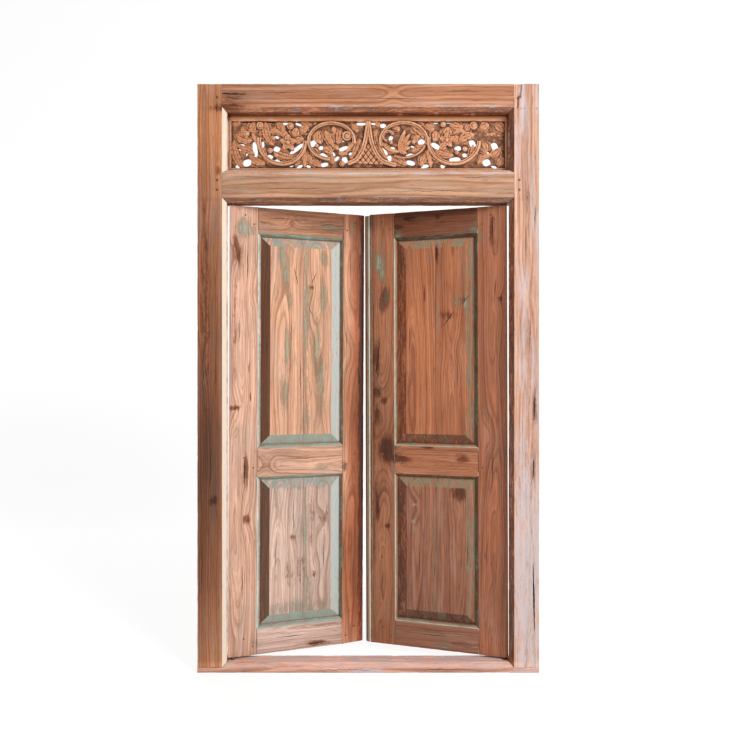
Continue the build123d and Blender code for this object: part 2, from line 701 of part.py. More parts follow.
    def pieces(self):
        found = {}
        hinge_stile = self.stile(True)
        back_edge = hinge_stile.edges().filter_by(Axis.Z).group_by(Axis.X)[0].sort_by(Axis.Y)[-1]
        hinge_stile = fillet(back_edge, hinge_edge_round)
        found["hinge_stile"] = self.upright(hinge_stile) + self.pivots()
        found["meeting_stile"] = self.upright(self.worn(self.stile(False)))
        for name, (z0, z1) in self.rails().items():
            found[name] = self.upright(self.rail(z0, z1))
        for name, opening in zip(("lower_panel", "upper_panel"), self.openings()):
            hinge_side, meeting_side = self.panel_boards(opening)
            found[name + "_hinge_board"] = self.upright(hinge_side)
            found[name + "_meeting_board"] = self.upright(meeting_side)
        found["pegs"] = Compound([self.upright(peg_blank(x, z, 0, leaf_peg_radius, leaf_peg_length))
                                  for x, z in self.peg_places()])
        if self.side > 0:
            found["cover_bead"] = self.upright(self.cover_bead())
        return {name: self.hung(piece) for name, piece in found.items()}

    # The free edge of the left leaf has worn away in a long bevel, widest at the bottom
    def worn(self, stile):
        if self.side > 0:
            return stile
        edge = self.width
        ends = []
        for z, width, drop in ((-beyond, worn_bottom_width, worn_bottom_drop),
                               (leaf_height + beyond, worn_top_width, worn_top_drop)):
            corners = [(edge - width, 0), (edge + beyond, 0), (edge + beyond, drop)]
            ends.append(Plane.XY.offset(z) * Polygon(*corners, align=None))
        return stile - loft(ends)

    # The bead that covers the meeting of the leaves, on the front of the right one
    def cover_bead(self):
        lap_edge = clear_x - (meeting_line - astragal_lap)
        seat_edge = self.width - astragal_seat
        middle, radius = (lap_edge + seat_edge) / 2, (lap_edge - seat_edge) / 2
        curve = EllipticalCenterArc((middle, 0), radius, astragal_projection, 180, arc_size=180)
        section = make_face([curve, Line(curve @ 1, curve @ 0)])
        length = leaf_height - 2 * astragal_end_inset
        bead = extrude(Plane.XY.offset(astragal_end_inset) * section, amount=length)
        hollow = block(self.width, lap_edge + beyond, -astragal_relief, beyond,
                       astragal_end_inset - beyond, leaf_height - astragal_end_inset + beyond)
        return bead - hollow


left_leaf = Leaf(-1, left_width, left_hinge_stile, left_meeting_stile, left_board_share,
                 left_lean, left_open)
right_leaf = Leaf(1, right_width, right_hinge_stile, right_meeting_stile, right_board_share,
                  right_lean, right_open)

# Everything, by name
nodes = {
    "left_post": make_post(-1),
    "right_post": make_right_post(),
    "head_rail": make_head(),
    "transom_rail": make_transom(),
    "sill": make_sill(),
    "carved_board": make_carved_board(),
    "frame_pegs": Compound(make_frame_pegs()),
}
for name, leaf_model in (("left", left_leaf), ("right", right_leaf)):
    for piece, solid in leaf_model.pieces().items():
        nodes[name + "_" + piece] = solid

os.makedirs("parts", exist_ok=True)
for name, solid in nodes.items():
    export_step(solid, "parts/" + name + ".step")
print(len(nodes), "nodes", "leaf height", leaf_height, "widths", left_width, right_width)
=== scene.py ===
import json
from math import cos, hypot, pi, radians, sin

import bmesh
import bpy
import numpy as np
from mathutils import Euler, Matrix, Vector, noise
from mathutils.geometry import delaunay_2d_cdt


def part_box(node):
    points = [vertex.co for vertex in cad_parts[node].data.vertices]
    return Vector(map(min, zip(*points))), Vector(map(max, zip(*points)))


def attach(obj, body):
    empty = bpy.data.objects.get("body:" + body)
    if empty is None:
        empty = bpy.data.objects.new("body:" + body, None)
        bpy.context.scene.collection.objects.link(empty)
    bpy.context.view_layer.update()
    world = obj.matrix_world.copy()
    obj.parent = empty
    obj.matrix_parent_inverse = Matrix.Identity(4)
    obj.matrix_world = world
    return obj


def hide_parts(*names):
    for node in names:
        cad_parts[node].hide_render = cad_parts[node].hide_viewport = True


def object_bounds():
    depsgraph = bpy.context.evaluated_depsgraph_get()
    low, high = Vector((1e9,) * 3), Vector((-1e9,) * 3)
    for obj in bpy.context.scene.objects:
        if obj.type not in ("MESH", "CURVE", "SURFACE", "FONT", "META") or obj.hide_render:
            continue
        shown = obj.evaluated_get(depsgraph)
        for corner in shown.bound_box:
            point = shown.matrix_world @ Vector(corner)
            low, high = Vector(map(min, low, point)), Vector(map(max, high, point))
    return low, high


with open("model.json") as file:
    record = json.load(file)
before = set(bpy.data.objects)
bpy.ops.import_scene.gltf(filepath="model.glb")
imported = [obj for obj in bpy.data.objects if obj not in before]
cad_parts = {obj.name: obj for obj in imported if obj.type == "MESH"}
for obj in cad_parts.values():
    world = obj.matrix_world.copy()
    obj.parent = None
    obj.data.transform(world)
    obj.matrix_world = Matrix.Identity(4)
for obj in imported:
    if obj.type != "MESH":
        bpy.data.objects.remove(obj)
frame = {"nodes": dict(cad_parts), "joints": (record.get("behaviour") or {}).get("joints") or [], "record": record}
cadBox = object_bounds()
nodes = frame["nodes"]
joints = {joint["name"]: joint for joint in frame["joints"]}
bodyOf = {name: body for body, names in frame["record"]["behaviour"]["bodies"].items() for name in names}
mm = 0.001
far = 1000.0
white = (1.0, 1.0, 1.0)

# The two leaves stand ajar. Their own space runs from the hinge edge, the lower end and the front face.
leafSpace = {
    "left": {"turn": 13.0, "lean": 0.22, "side": -1},
    "right": {"turn": 12.0, "lean": 0.18, "side": 1},
}
leafShape = {"height": 1841.0, "thickness": 29.0, "pivotOffset": 16.0}


def leafOf(piece):
    return next((name for name in leafSpace if bodyOf[piece] == name + "_leaf"), None)


def leafMatrix(name):
    shape = leafSpace[name]
    pivot = Vector(joints[name + "_leaf_swing"]["pos_m"])
    pivot.x = -abs(pivot.x)
    seat = Vector((-leafShape["pivotOffset"], -leafShape["thickness"] / 2, -leafShape["height"] / 2)) * mm
    upright = Matrix.Rotation(radians(shape["lean"]), 4, "Y") @ Matrix.Translation(seat)
    hung = Matrix.Translation(pivot) @ Matrix.Rotation(radians(shape["turn"]), 4, "Z") @ upright
    return Matrix.Diagonal((shape["side"] * -1, 1, 1, 1)) @ hung


def addObject(name, data):
    made = bpy.data.objects.new(name, data)
    bpy.context.scene.collection.objects.link(made)
    return made


# Camera: on the doorway's centre line, a little above half height
view = {
    "distance": 1.948,          # from the front of the frame
    "sideways": -0.0045,
    "eyeHeight": 1.222,
    "frameScale": 249.7,        # pixels of the 750 pixel frame to a metre, at the front of the frame
    "middleX": 368.2,           # where the middle of the doorway and half its height fall in that frame
    "middleY": 378.4,
    "halfHeight": 1.18,
    "picture": 750.0,
    "sensor": 36.0,
}


def setCamera():
    data = bpy.data.cameras.new("doorCamera")
    camera = addObject("doorCamera", data)
    camera.location = (view["sideways"], cadBox[0][1] - view["distance"], view["eyeHeight"])
    camera.rotation_euler = Euler((radians(90), 0, 0))
    data.sensor_width = view["sensor"]
    data.lens = view["frameScale"] * view["distance"] * view["sensor"] / view["picture"]
    axisX = view["middleX"] + view["sideways"] * view["frameScale"]
    axisY = view["middleY"] - (view["eyeHeight"] - view["halfHeight"]) * view["frameScale"]
    data.shift_x = (view["picture"] / 2 - axisX) / view["picture"]
    data.shift_y = (axisY - view["picture"] / 2) / view["picture"]
    bpy.context.scene.camera = camera
    print("camera set, lens", round(data.lens, 2), "mm")


# Shader helpers: each input is a value, a node or the socket that feeds it
def feed(tree, socket, value):
    if isinstance(value, bpy.types.Node):
        value = value.outputs[0]
    if isinstance(value, bpy.types.NodeSocket):
        tree.links.new(value, socket)
    else:
        socket.default_value = (*value, 1.0) if socket.type == "RGBA" else value


def put(tree, kind, inputs=None, **settings):
    made = tree.nodes.new(kind)
    for key, value in settings.items():
        setattr(made, key, value)
    for key, value in (inputs or {}).items():
        feed(tree, made.inputs[key], value)
    return made


def maths(tree, operation, *values, clamp=False):
    made = put(tree, "ShaderNodeMath", dict(enumerate(values)), operation=operation, use_clamp=clamp)
    return made.outputs[0]


def times(tree, one, other):
    return maths(tree, "MULTIPLY", one, other)


def less(tree, one, other, clamp=False):
    return maths(tree, "SUBTRACT", one, other, clamp=clamp)


# Sum of values, each with its weight
def weighed(tree, *parts):
    total = times(tree, *parts[0])
    for part in parts[1:]:
        total = maths(tree, "ADD", total, times(tree, *part))
    return total


def vectors(tree, operation, *values, out=0):
    return put(tree, "ShaderNodeVectorMath", dict(enumerate(values)), operation=operation).outputs[out]


def scaled(tree, vector, size):
    return put(tree, "ShaderNodeVectorMath", {0: vector, "Scale": size}, operation="SCALE").outputs[0]


def mapped(tree, vector, kind="POINT", **change):
    return put(tree, "ShaderNodeMapping", {"Vector": vector, **change}, vector_type=kind).outputs[0]


def ramp(tree, value, low, high, start=0.0, end=1.0, smooth=True):
    limits = {"Value": value, "From Min": low, "From Max": high, "To Min": start, "To Max": end}
    kind = "SMOOTHSTEP" if smooth else "LINEAR"
    return put(tree, "ShaderNodeMapRange", limits, interpolation_type=kind).outputs["Result"]


# Noise with one scale, or with one for each axis
def speckle(tree, vector, scale, detail, roughness, out="Fac"):
    if isinstance(scale, tuple):
        vector, scale = mapped(tree, vector, Scale=scale), 1.0
    inputs = {"Vector": vector, "Scale": scale, "Detail": detail, "Roughness": roughness}
    return put(tree, "ShaderNodeTexNoise", inputs).outputs[out]


def attribute(tree, name, out="Fac"):
    return put(tree, "ShaderNodeAttribute", attribute_name=name).outputs[out]


# Colours laid over a base, each with its share and, where it isn't plain, the way it mixes
def layered(tree, base, *layers):
    for share, over, *way in layers:
        base = put(tree, "ShaderNodeMix", {0: share, 6: base, 7: over}, data_type="RGBA",
                   blend_type=way[0] if way else "MIX").outputs[2]
    return base


def toned(value, change):
    return tuple(min(1.0, change * part) for part in value)


# A group's inputs are numbers, or vectors where no number is given, and its outputs are numbers
def newGroup(name, inputs):
    group = bpy.data.node_groups.new(name, "ShaderNodeTree")
    for label, value in inputs.items():
        kind = "NodeSocketVector" if value is None else "NodeSocketFloat"
        socket = group.interface.new_socket(label, in_out="INPUT", socket_type=kind)
        if value is not None:
            socket.default_value = value
    return group, group.nodes.new("NodeGroupInput").outputs


def closeGroup(group, results):
    for label in results:
        group.interface.new_socket(label, in_out="OUTPUT", socket_type="NodeSocketFloat")
    put(group, "NodeGroupOutput", results)


def useGroup(tree, name, inputs):
    return put(tree, "ShaderNodeGroup", inputs, node_tree=bpy.data.node_groups[name]).outputs


def newMaterial(name):
    material = bpy.data.materials.new(name)
    material.use_nodes = True
    material.node_tree.nodes.clear()
    return material, material.node_tree


# Sawn teak: growth rings round a pith that lies outside the board, long streaks, fine fibre, open pores.
# Each noise is drawn out along the grain, which runs along Z.
grainScale = {"drift": (3.5, 3.5, 1.0), "year": 0.9, "streak": (105.0, 105.0, 3.0),
              "fibre": (330.0, 330.0, 9.0), "pore": (300.0, 300.0, 14.0), "cloud": (9.0, 9.0, 2.2)}


def teakGrainGroup():
    group, given = newGroup("teakGrain", {"Vector": None, "Pith": None, "Rings": 95.0, "Waver": 0.1,
                                          "Eye": 0.0})
    place = vectors(group, "ADD", given["Vector"], given["Pith"])
    drift = speckle(group, place, grainScale["drift"], 3.0, 0.5, out="Color")
    centred = vectors(group, "SUBTRACT", drift, (0.5, 0.5, 0.5))
    warped = vectors(group, "ADD", place, scaled(group, centred, given["Waver"]))
    radius = vectors(group, "LENGTH", vectors(group, "MULTIPLY", warped, (1.0, 1.0, 0.0)), out="Value")
    count = times(group, maths(group, "ADD", radius, given["Eye"]), given["Rings"])
    year = put(group, "ShaderNodeTexNoise", {"W": count, "Scale": grainScale["year"], "Detail": 4.0,
                                             "Roughness": 0.72}, noise_dimensions="1D").outputs["Fac"]
    late = ramp(group, maths(group, "FRACT", count), 0.45, 1.0)
    closeGroup(group, {
        "Ring": weighed(group, (ramp(group, year, 0.32, 0.68, 0.0, 0.75), 1.0), (late, 0.3)),
        "Streak": speckle(group, place, grainScale["streak"], 6.0, 0.75),
        "Fibre": speckle(group, place, grainScale["fibre"], 3.0, 0.6),
        "Pore": ramp(group, speckle(group, place, grainScale["pore"], 2.0, 0.6), 0.60, 0.70),
        "Cloud": speckle(group, place, grainScale["cloud"], 4.0, 0.6),
    })


# Worn arrises, and painted shade in corners and creases from ambient occlusion
def arrisWearAndShadeGroup():
    group, given = newGroup("arrisWearAndCornerShade", {"Vector": None, "Radius": 0.004, "Patchy": 30.0, "Reach": 0.02})
    rounded = put(group, "ShaderNodeBevel", {"Radius": given["Radius"]}, samples=4)
    face = put(group, "ShaderNodeNewGeometry").outputs["Normal"]
    edge = ramp(group, vectors(group, "DOT_PRODUCT", rounded, face, out="Value"), 0.995, 0.90)
    patches = ramp(group, speckle(group, given["Vector"], given["Patchy"], 4.0, 0.6), 0.3, 0.6)
    # Painted shade: one less the ambient occlusion marks the corners and creases to darken
    hidden = put(group, "ShaderNodeAmbientOcclusion", {"Distance": given["Reach"]}, samples=6).outputs["AO"]
    closeGroup(group, {"Edge": maths(group, "MULTIPLY", edge, patches, clamp=True),
                       "CornerShade": less(group, 1.0, hidden, clamp=True)})


# What clings to stripped wood: a broken film that runs with the grain and covers about the given share
filmLook = {"broad": (70.0, 70.0, 11.0), "fine": (260.0, 260.0, 50.0), "tear": (-0.11, 0.07),
            "thick": (0.05, 0.19)}


def filmGroup():
    group, given = newGroup("clingingFilm", {"Vector": None, "Share": 0.0})
    broad = speckle(group, given["Vector"], filmLook["broad"], 5.0, 0.66)
    fine = speckle(group, given["Vector"], filmLook["fine"], 4.0, 0.72)
    cling = maths(group, "MULTIPLY_ADD", given["Share"], 0.36, -0.66)
    over = maths(group, "ADD", weighed(group, (broad, 0.55), (fine, 0.45)), cling)
    cover = times(group, ramp(group, over, *filmLook["tear"]), ramp(group, given["Share"], 0.02, 0.2))
    closeGroup(group, {"Film": cover, "Thick": ramp(group, over, *filmLook["thick"])})


# A split along the grain: place of its middle, half its length and width, in the board's own space
def splitGroup():
    group, given = newGroup("splitLine", {"Vector": None, "Middle": None, "Half length": 0.05,
                                          "Half width": 0.0015, "Tilt": 0.0})
    away = vectors(group, "SUBTRACT", given["Vector"], given["Middle"])
    parts = put(group, "ShaderNodeSeparateXYZ", {0: away}).outputs
    wander = speckle(group, given["Vector"], (20.0, 20.0, 26.0), 3.0, 0.6)
    bend = times(group, less(group, wander, 0.5), 0.012)
    lean = times(group, parts["Z"], given["Tilt"])
    side = maths(group, "ABSOLUTE", less(group, maths(group, "ADD", parts["X"], bend), lean))
    share = maths(group, "DIVIDE", parts["Z"], given["Half length"])
    width = times(group, given["Half width"], less(group, 1.0, times(group, share, share), clamp=True))
    mask = ramp(group, less(group, side, width), 0.0006, -0.0006)
    closeGroup(group, {"Mask": times(group, mask, ramp(group, parts["Y"], 0.012, 0.006))})


# Linear colours, one a piece as its wood looks between the marks of age, and the closeness of its rings
woods = {
    "left_post": ((0.50, 0.224, 0.110), 95, 0.6, (0.30, 0.22, 0.19)),
    "right_post": ((0.59, 0.355, 0.268), 75, 0.9, (0.64, 0.52, 0.52)),
    "head_rail": ((0.51, 0.24, 0.134), 50),
    "transom_rail": ((0.54, 0.31, 0.20), 45, 0.7, (0.52, 0.38, 0.27)),
    "sill": ((0.72, 0.41, 0.33), 60, 0.3, (0.9, 0.60, 0.5)),
    "left_hinge_stile": ((0.63, 0.385, 0.295), 100, 0.5),
    "left_meeting_stile": ((0.66, 0.335, 0.215), 100, 0.3),
    "left_top_rail": ((0.43, 0.213, 0.132), 80, 0.3),
    "left_lock_rail": ((0.58, 0.343, 0.250), 80, 0.35),
    "left_bottom_rail": ((0.60, 0.44, 0.40), 80, 0.5),
    "left_upper_panel": ((0.60, 0.345, 0.235), 90, 0.4),
    "left_lower_panel": ((0.57, 0.415, 0.365), 90, 0.6),
    "right_hinge_stile": ((0.31, 0.115, 0.060), 100, 0.12),
    "right_meeting_stile": ((0.31, 0.124, 0.064), 100, 0.12),
    "right_top_rail": ((0.145, 0.048, 0.020), 80, 0.1),
    "right_lock_rail": ((0.39, 0.152, 0.076), 80, 0.12),
    "right_bottom_rail": ((0.27, 0.123, 0.076), 80, 0.2),
    "right_upper_panel": ((0.36, 0.133, 0.062), 90, 0.12),
    "right_lower_panel": ((0.28, 0.117, 0.068), 90, 0.2),
    "right_cover_bead": ((0.34, 0.155, 0.075), 120, 0.3),
    "carved_board": ((0.47, 0.20, 0.10), 90),
    "pegs": ((0.15, 0.07, 0.042), 300),
}
woodLook = {"early": (1.46, 1.42, 1.32), "late": (0.70, 0.56, 0.46), "rough": 0.6, "specular": 0.3,
            "bloom": 0.3, "bloomColour": (0.56, 0.43, 0.36),
            "warm": {"left": (1.0, 0.62, 0.43), "right": (1.0, 0.74, 0.58), "frame": (1.0, 0.86, 0.82)}}


def woodOf(piece):
    key = next(name for name in woods if piece.startswith(name) or piece.endswith(name))
    wood = {**woodLook, **dict(zip(("mean", "rings", "bloom", "bloomColour"), woods[key]))}
    for side in ("early", "late"):
        wood[side] = tuple(min(1.0, part * change) for part, change in zip(wood["mean"], woodLook[side]))
    return wood


def teakRoughness(tree, fibre):
    return ramp(tree, fibre, 0.2, 0.8, woodLook["rough"] - 0.08, woodLook["rough"] + 0.12)


def closeMaterial(tree, base, roughness, height, bumpStrength, bumpDistance, specular=woodLook["specular"]):
    bump = put(tree, "ShaderNodeBump", {"Strength": bumpStrength, "Distance": bumpDistance,
                                        "Height": height})
    shader = put(tree, "ShaderNodeBsdfPrincipled", {"Base Color": base, "Roughness": roughness,
                                                    "Specular IOR Level": specular, "Normal": bump})
    put(tree, "ShaderNodeOutputMaterial", {"Surface": shader})


# The pegs keep their solids and stand in their leaf's own space, in metres
def pegMaterial(piece, seed):
    finish = woodOf(piece)
    early, late = finish["early"], finish["late"]
    material, tree = newMaterial(piece + "Teak")
    place = put(tree, "ShaderNodeTexCoord").outputs["Object"]
    leaf = leafOf(piece)
    if leaf:
        way = -leafSpace[leaf]["side"]
        pivot = joints[leaf + "_leaf_swing"]["pos_m"]
        spin = (0.0, radians(leafSpace[leaf]["lean"]) * way, radians(leafSpace[leaf]["turn"]) * way)
        place = mapped(tree, place, "TEXTURE", Location=pivot, Rotation=spin)
    rng = np.random.default_rng(seed)
    pith = (float(rng.uniform(-0.09, 0.09)), float(rng.uniform(0.05, 0.11)), float(rng.uniform(-3, 3)))
    grain = useGroup(tree, "teakGrain", {"Vector": place, "Pith": pith, "Rings": finish["rings"],
                                         "Waver": 0.05})
    wear = useGroup(tree, "arrisWearAndCornerShade", {"Vector": place})
    base = layered(tree, early,
                   (ramp(tree, grain["Ring"], 0.25, 0.85), late),
                   (ramp(tree, grain["Fibre"], 0.3, 0.75, 0.0, 0.35), late),
                   (times(tree, grain["Pore"], 0.5), toned(late, 0.35)))
    base = layered(tree, scaled(tree, base, ramp(tree, grain["Cloud"], 0.3, 0.7, 0.72, 1.2, smooth=False)),
                   # painted shade in corners, from ambient occlusion
                   (ramp(tree, wear["CornerShade"], 0.25, 0.85, 0.0, 0.7), toned(late, 0.25)),
                   (times(tree, wear["Edge"], 0.45), toned(early, 1.35)))
    height = weighed(tree, (grain["Fibre"], 0.6), (grain["Pore"], -0.8), (grain["Ring"], 0.5))
    closeMaterial(tree, base, teakRoughness(tree, grain["Fibre"]), height, 0.45, 0.0012)
    return material


# Carved board: millimetres, from the middle of the lower edge of its opening
carving = {
    "tongue": 10.0, "tongueFront": 4.0, "tongueBack": 14.0,
    "step": 1.75,               # pitch of the grid that the carving is worked on
    "relief": 8.0,              # from the sunk ground up to the highest carving
    "topBorder": 22.0, "bottomBorder": 19.0, "sideBorder": 10.0, "borderRise": 6.0,
    "chisel": 0.35,             # unevenness left by the chisel
    "piercing": (1.12, 1.16),   # the holes' lengths and widths against the table below
    "besideLeaf": 1.3, "underLeaf": 2.3, "underScroll": 2.1,    # widths of what grows lower beside them
    "lobe": 24, "lobedFrom": 18, "notch": 0.14,     # a leaf's lobes: pitch, least width, depth between them
    "cavity": [(0.6, 3), (0.7, 8)],                 # weight and reach of each blur that finds the hollows
    "petal": 6.6,               # height of petals and of the shell's flutes
    "slotFloor": -3.0,
    # Colours: crests partly rubbed wood and partly painted highlight, deep the hollows' dirt and painted shade,
    # pit the painted shadow on the blind slots' floors
    "crestWearAndHighlight": (0.84, 0.47, 0.28), "deep": (0.05, 0.018, 0.009), "pit": (0.006, 0.004, 0.003),
    "sharpAngle": 72,
}

# Scrolls: centre, radii, first and last angle, width
scrolls = [
    (-352, 131, 95, 95, 172, 360, 18), (-151, 130, 93, 74, -8, 266, 15), (145, 133, 95, 73, -14, 198, 15),
    (145, 133, 90, 70, 244, 344, 10), (350, 134, 104, 96, 172, 358, 18), (82, 150, 20, 20, 20, 250, 11),
]
# Rolled ends: centre, radius
volutes = [
    (-442, 194, 16), (-319, 192, 15), (-87, 152, 21), (-401, 92, 11), (-376, 72, 9), (-211, 112, 8),
    (-107, 37, 12), (431, 193, 17), (307, 198, 12), (396, 98, 11), (362, 84, 9), (185, 127, 9),
    (93, 125, 8), (-498, 160, 13), (-390, 142, 11),
]
# Leaves: root, tip, width, bend as a share of the length, height above the ground
leaves = [
    # left end
    (-515, 21, -549, 140, 26, 0.10, 5), (-540, 156, -472, 134, 30, -0.15, 6),
    (-517, 186, -488, 152, 22, -0.15, 7), (-560, 202, -520, 206, 18, 0, 5),
    (-466, 207, -490, 166, 24, 0.1, 6), (-468, 188, -474, 148, 16, 0, 5),
    (-474, 160, -450, 112, 13, 0, 7), (-541, 118, -506, 66, 18, 0.2, 5),
    (-509, 108, -466, 77, 26, 0, 5), (-484, 70, -420, 36, 26, -0.1, 6),
    # left scroll
    (-421, 207, -386, 110, 26, -0.12, 6.5), (-414, 162, -348, 150, 16, 0.25, 6.5),
    (-386, 84, -288, 62, 30, -0.12, 6), (-428, 102, -396, 38, 20, -0.15, 7),
    (-371, 207, -347, 166, 26, 0.1, 6), (-300, 150, -294, 186, 26, 0, 6),
    (-279, 170, -243, 190, 24, 0, 6.5), (-300, 128, -262, 142, 24, 0, 6),
    (-278, 208, -226, 194, 16, 0, 5), (-352, 150, -330, 166, 30, 0.1, 6),
    # left ring
    (-205, 172, -193, 118, 26, -0.2, 6.5), (-234, 138, -208, 170, 14, 0, 5.5),
    (-177, 172, -139, 101, 19, 0, 7), (-143, 190, -136, 158, 15, 0, 6),
    (-117, 177, -128, 118, 28, 0.1, 6), (-56, 130, -94, 80, 13, 0, 7),
    (-240, 102, -196, 64, 26, 0, 6), (-181, 105, -146, 76, 26, 0.1, 6),
    (-140, 116, -118, 94, 12, 0, 5.5), (-122, 80, -82, 80, 14, 0, 5.5),
    (-152, 78, -143, 34, 20, 0, 5.5), (-66, 200, -42, 166, 20, 0, 5.5),
    (-230, 54, -190, 24, 22, 0, 5.5), (-33, 138, -75, 50, 26, 0.05, 6),
    # left trumpet
    (-263, 104, -259, 17, 17, 0, 7.5), (-266, 84, -300, 24, 20, 0, 6),
    (-254, 82, -228, 34, 20, 0, 6),
    # right of the arch
    (32, 176, 85, 48, 24, -0.1, 6), (14, 172, 33, 150, 18, 0, 5.5), (44, 190, 30, 214, 18, 0, 5.5),
    # right ring
    (50, 131, 141, 88, 13, -0.15, 6.5), (92, 188, 130, 172, 20, 0.2, 6),
    (176, 197, 229, 138, 28, 0.15, 6.5), (185, 120, 212, 156, 18, 0.1, 6),
    (194, 111, 234, 121, 18, -0.2, 6), (176, 88, 212, 98, 16, 0, 5.5),
    (114, 68, 160, 30, 24, 0, 6), (98, 68, 120, 26, 16, 0, 5.5),
    # right trumpet
    (244, 100, 257, 17, 16, 0, 7.5), (234, 78, 214, 24, 22, 0, 6),
    (262, 86, 292, 42, 26, 0, 6),
    # right scroll
    (324, 152, 326, 190, 30, 0, 6), (276, 172, 268, 128, 26, 0.1, 6),
    (344, 130, 368, 152, 24, 0, 6), (316, 116, 292, 100, 24, 0, 6),
    (346, 160, 408, 156, 15, 0.25, 6.5), (372, 132, 436, 158, 28, 0.1, 6),
    (334, 198, 392, 184, 24, 0, 6), (236, 198, 270, 172, 22, 0, 6),
    (398, 172, 422, 198, 20, 0.1, 6), (429, 114, 402, 44, 20, 0.15, 7),
    (270, 90, 352, 74, 24, -0.12, 6),
    # right end
    (458, 182, 496, 198, 26, 0.1, 6), (464, 124, 486, 82, 30, 0, 5.5),
    (448, 38, 510, 80, 18, 0.1, 6), (520, 204, 556, 164, 30, 0.1, 5),
    (502, 66, 544, 104, 28, 0, 5), (530, 30, 556, 66, 24, 0, 5),
]
# A leaf's width at places along its length, both as shares
leafProfile = ((0, 0.12, 0.3, 0.5, 0.68, 0.85, 1), (0.35, 0.74, 1.0, 0.96, 0.8, 0.5, 0))
# Flowers: centre, radius, number of petals
flowers = [(-328, 124, 27, 5), (322, 134, 25, 5)]
# Fluted shell in the right ring: its root and the tips of its flutes
shell = {"root": (124, 96), "flute": 21,
         "tips": [(152, 182), (173, 163), (179, 134), (174, 104), (158, 78)]}
# Holes cut right through: centre, half length, half width, angle
piercings = [
    (-535, 29, 10, 7, -14), (-519, 108, 15, 12, -86), (-502, 79, 11, 8, 50), (-497, 44, 16, 14, 15),
    (-464, 99, 30, 9, -81), (-436, 118, 14, 9, -85), (-403, 68, 12, 9, -22), (-375, 100, 13, 11, -28),
    (-374, 149, 9, 6, -31), (-362, 49, 23, 11, 0), (-342, 204, 14, 7, 0), (-317, 34, 10, 8, 0),
    (-292, 102, 33, 9, 37), (-285, 201, 14, 6, -23), (-282, 29, 12, 7, 14), (-245, 29, 9, 6, -22),
    (-228, 123, 18, 13, 37), (-193, 105, 9, 9, 0), (-181, 36, 16, 9, 11), (-181, 69, 19, 11, -38),
    (-144, 81, 11, 6, -55), (-129, 61, 12, 7, 50), (-102, 135, 7, 6, 0), (-102, 102, 20, 9, 21),
    (-96, 55, 14, 10, -73), (-73, 81, 8, 6, 55), (-29, 204, 18, 8, 3), (24, 205, 12, 7, 0),
    (55, 145, 13, 9, -46), (61, 196, 11, 10, 0), (62, 97, 25, 9, -56), (88, 62, 13, 10, 73),
    (93, 145, 12, 7, 73), (100, 104, 9, 7, 0), (112, 188, 11, 8, -11), (135, 90, 11, 7, 45),
    (172, 73, 17, 10, 23), (174, 44, 17, 10, -12), (182, 110, 8, 5, -17), (221, 127, 15, 14, -51),
    (230, 30, 18, 8, 7), (277, 208, 10, 5, 6), (277, 113, 19, 11, -33), (309, 34, 14, 8, 56),
    (333, 209, 14, 5, 2), (356, 55, 22, 12, 7), (368, 103, 13, 10, 20), (396, 75, 9, 9, 0),
    (428, 122, 16, 12, -68), (486, 45, 16, 13, 25), (490, 85, 7, 6, 0), (517, 27, 12, 6, -9),
    (520, 109, 18, 13, -69),
]
# Pointed arch: its two ribs from the apex down, and the lattice that fills it
arch = {
    "right": [(0, 214), (14, 124), (50, 56), (106, 32)],
    "left": [(0, 214), (-14, 124), (-42, 62), (-78, 40)],
    "rib": 19.0, "rise": 5.0, "pitch": 17.0, "angle": 38.0, "middle": 39.0, "groove": 2.8,
}
# Blind slots chopped under the top border, and the stretch at the right end where the wood has decayed
slots = [(-492, 209, 24, 4), (-401, 209, 20, 4)]
decay = (505, 157, 55, 9)


def shoulder(inside, width):
    return np.sqrt(1 - (1 - np.clip(inside / width, 0, 1)) ** 2)


# How far a place lies from the middle of an oval: one at its rim
def ovalReach(x, z, middleX, middleZ, halfX, halfZ):
    return np.hypot((x - middleX) / halfX, (z - middleZ) / halfZ)


def groove(offset, width):
    return np.clip(1 - np.abs(offset) / (width / 2), 0, 1)


# Each motif gives two fields: how far inside its outline a point is, and how high it stands
def leafForm(x, z, x0, z0, x1, z1, width, bend, height, folded=False):
    length = hypot(x1 - x0, z1 - z0)
    wayX, wayZ = (x1 - x0) / length, (z1 - z0) / length
    along = ((x - x0) * wayX + (z - z0) * wayZ) / length
    side = (z - z0) * wayX - (x - x0) * wayZ - bend * 4 * along * (1 - along) * length
    half = width / 2 * np.interp(along, *leafProfile)
    lobes = max(2, round(length / carving["lobe"]))
    lobed = width >= carving["lobedFrom"] and not folded
    notch = (0.5 + 0.5 * np.cos(2 * pi * (along * lobes - np.abs(side) / width))) ** 4
    if lobed:
        half = half * (1 - carving["notch"] * notch)
    inside = np.minimum(half - np.abs(side), along * length + 2)
    inside = np.where(along > 1, -length * (along - 1) - np.abs(side), inside)
    across = np.clip(np.abs(side) / np.maximum(half, 0.1), 0, 1)
    hollow = 0.5 - 0.5 * np.cos(2 * pi * across)
    rise = height * (0.9 + 0.2 * np.clip(along, 0, 1)) - (2.8 if width >= 16 else 1.6) * hollow
    if lobed:
        rise -= 0.8 * notch * across
    rise -= 2.2 * groove(side, 3.8)
    return inside, np.maximum(rise, 1.0) * shoulder(inside, 2.6)


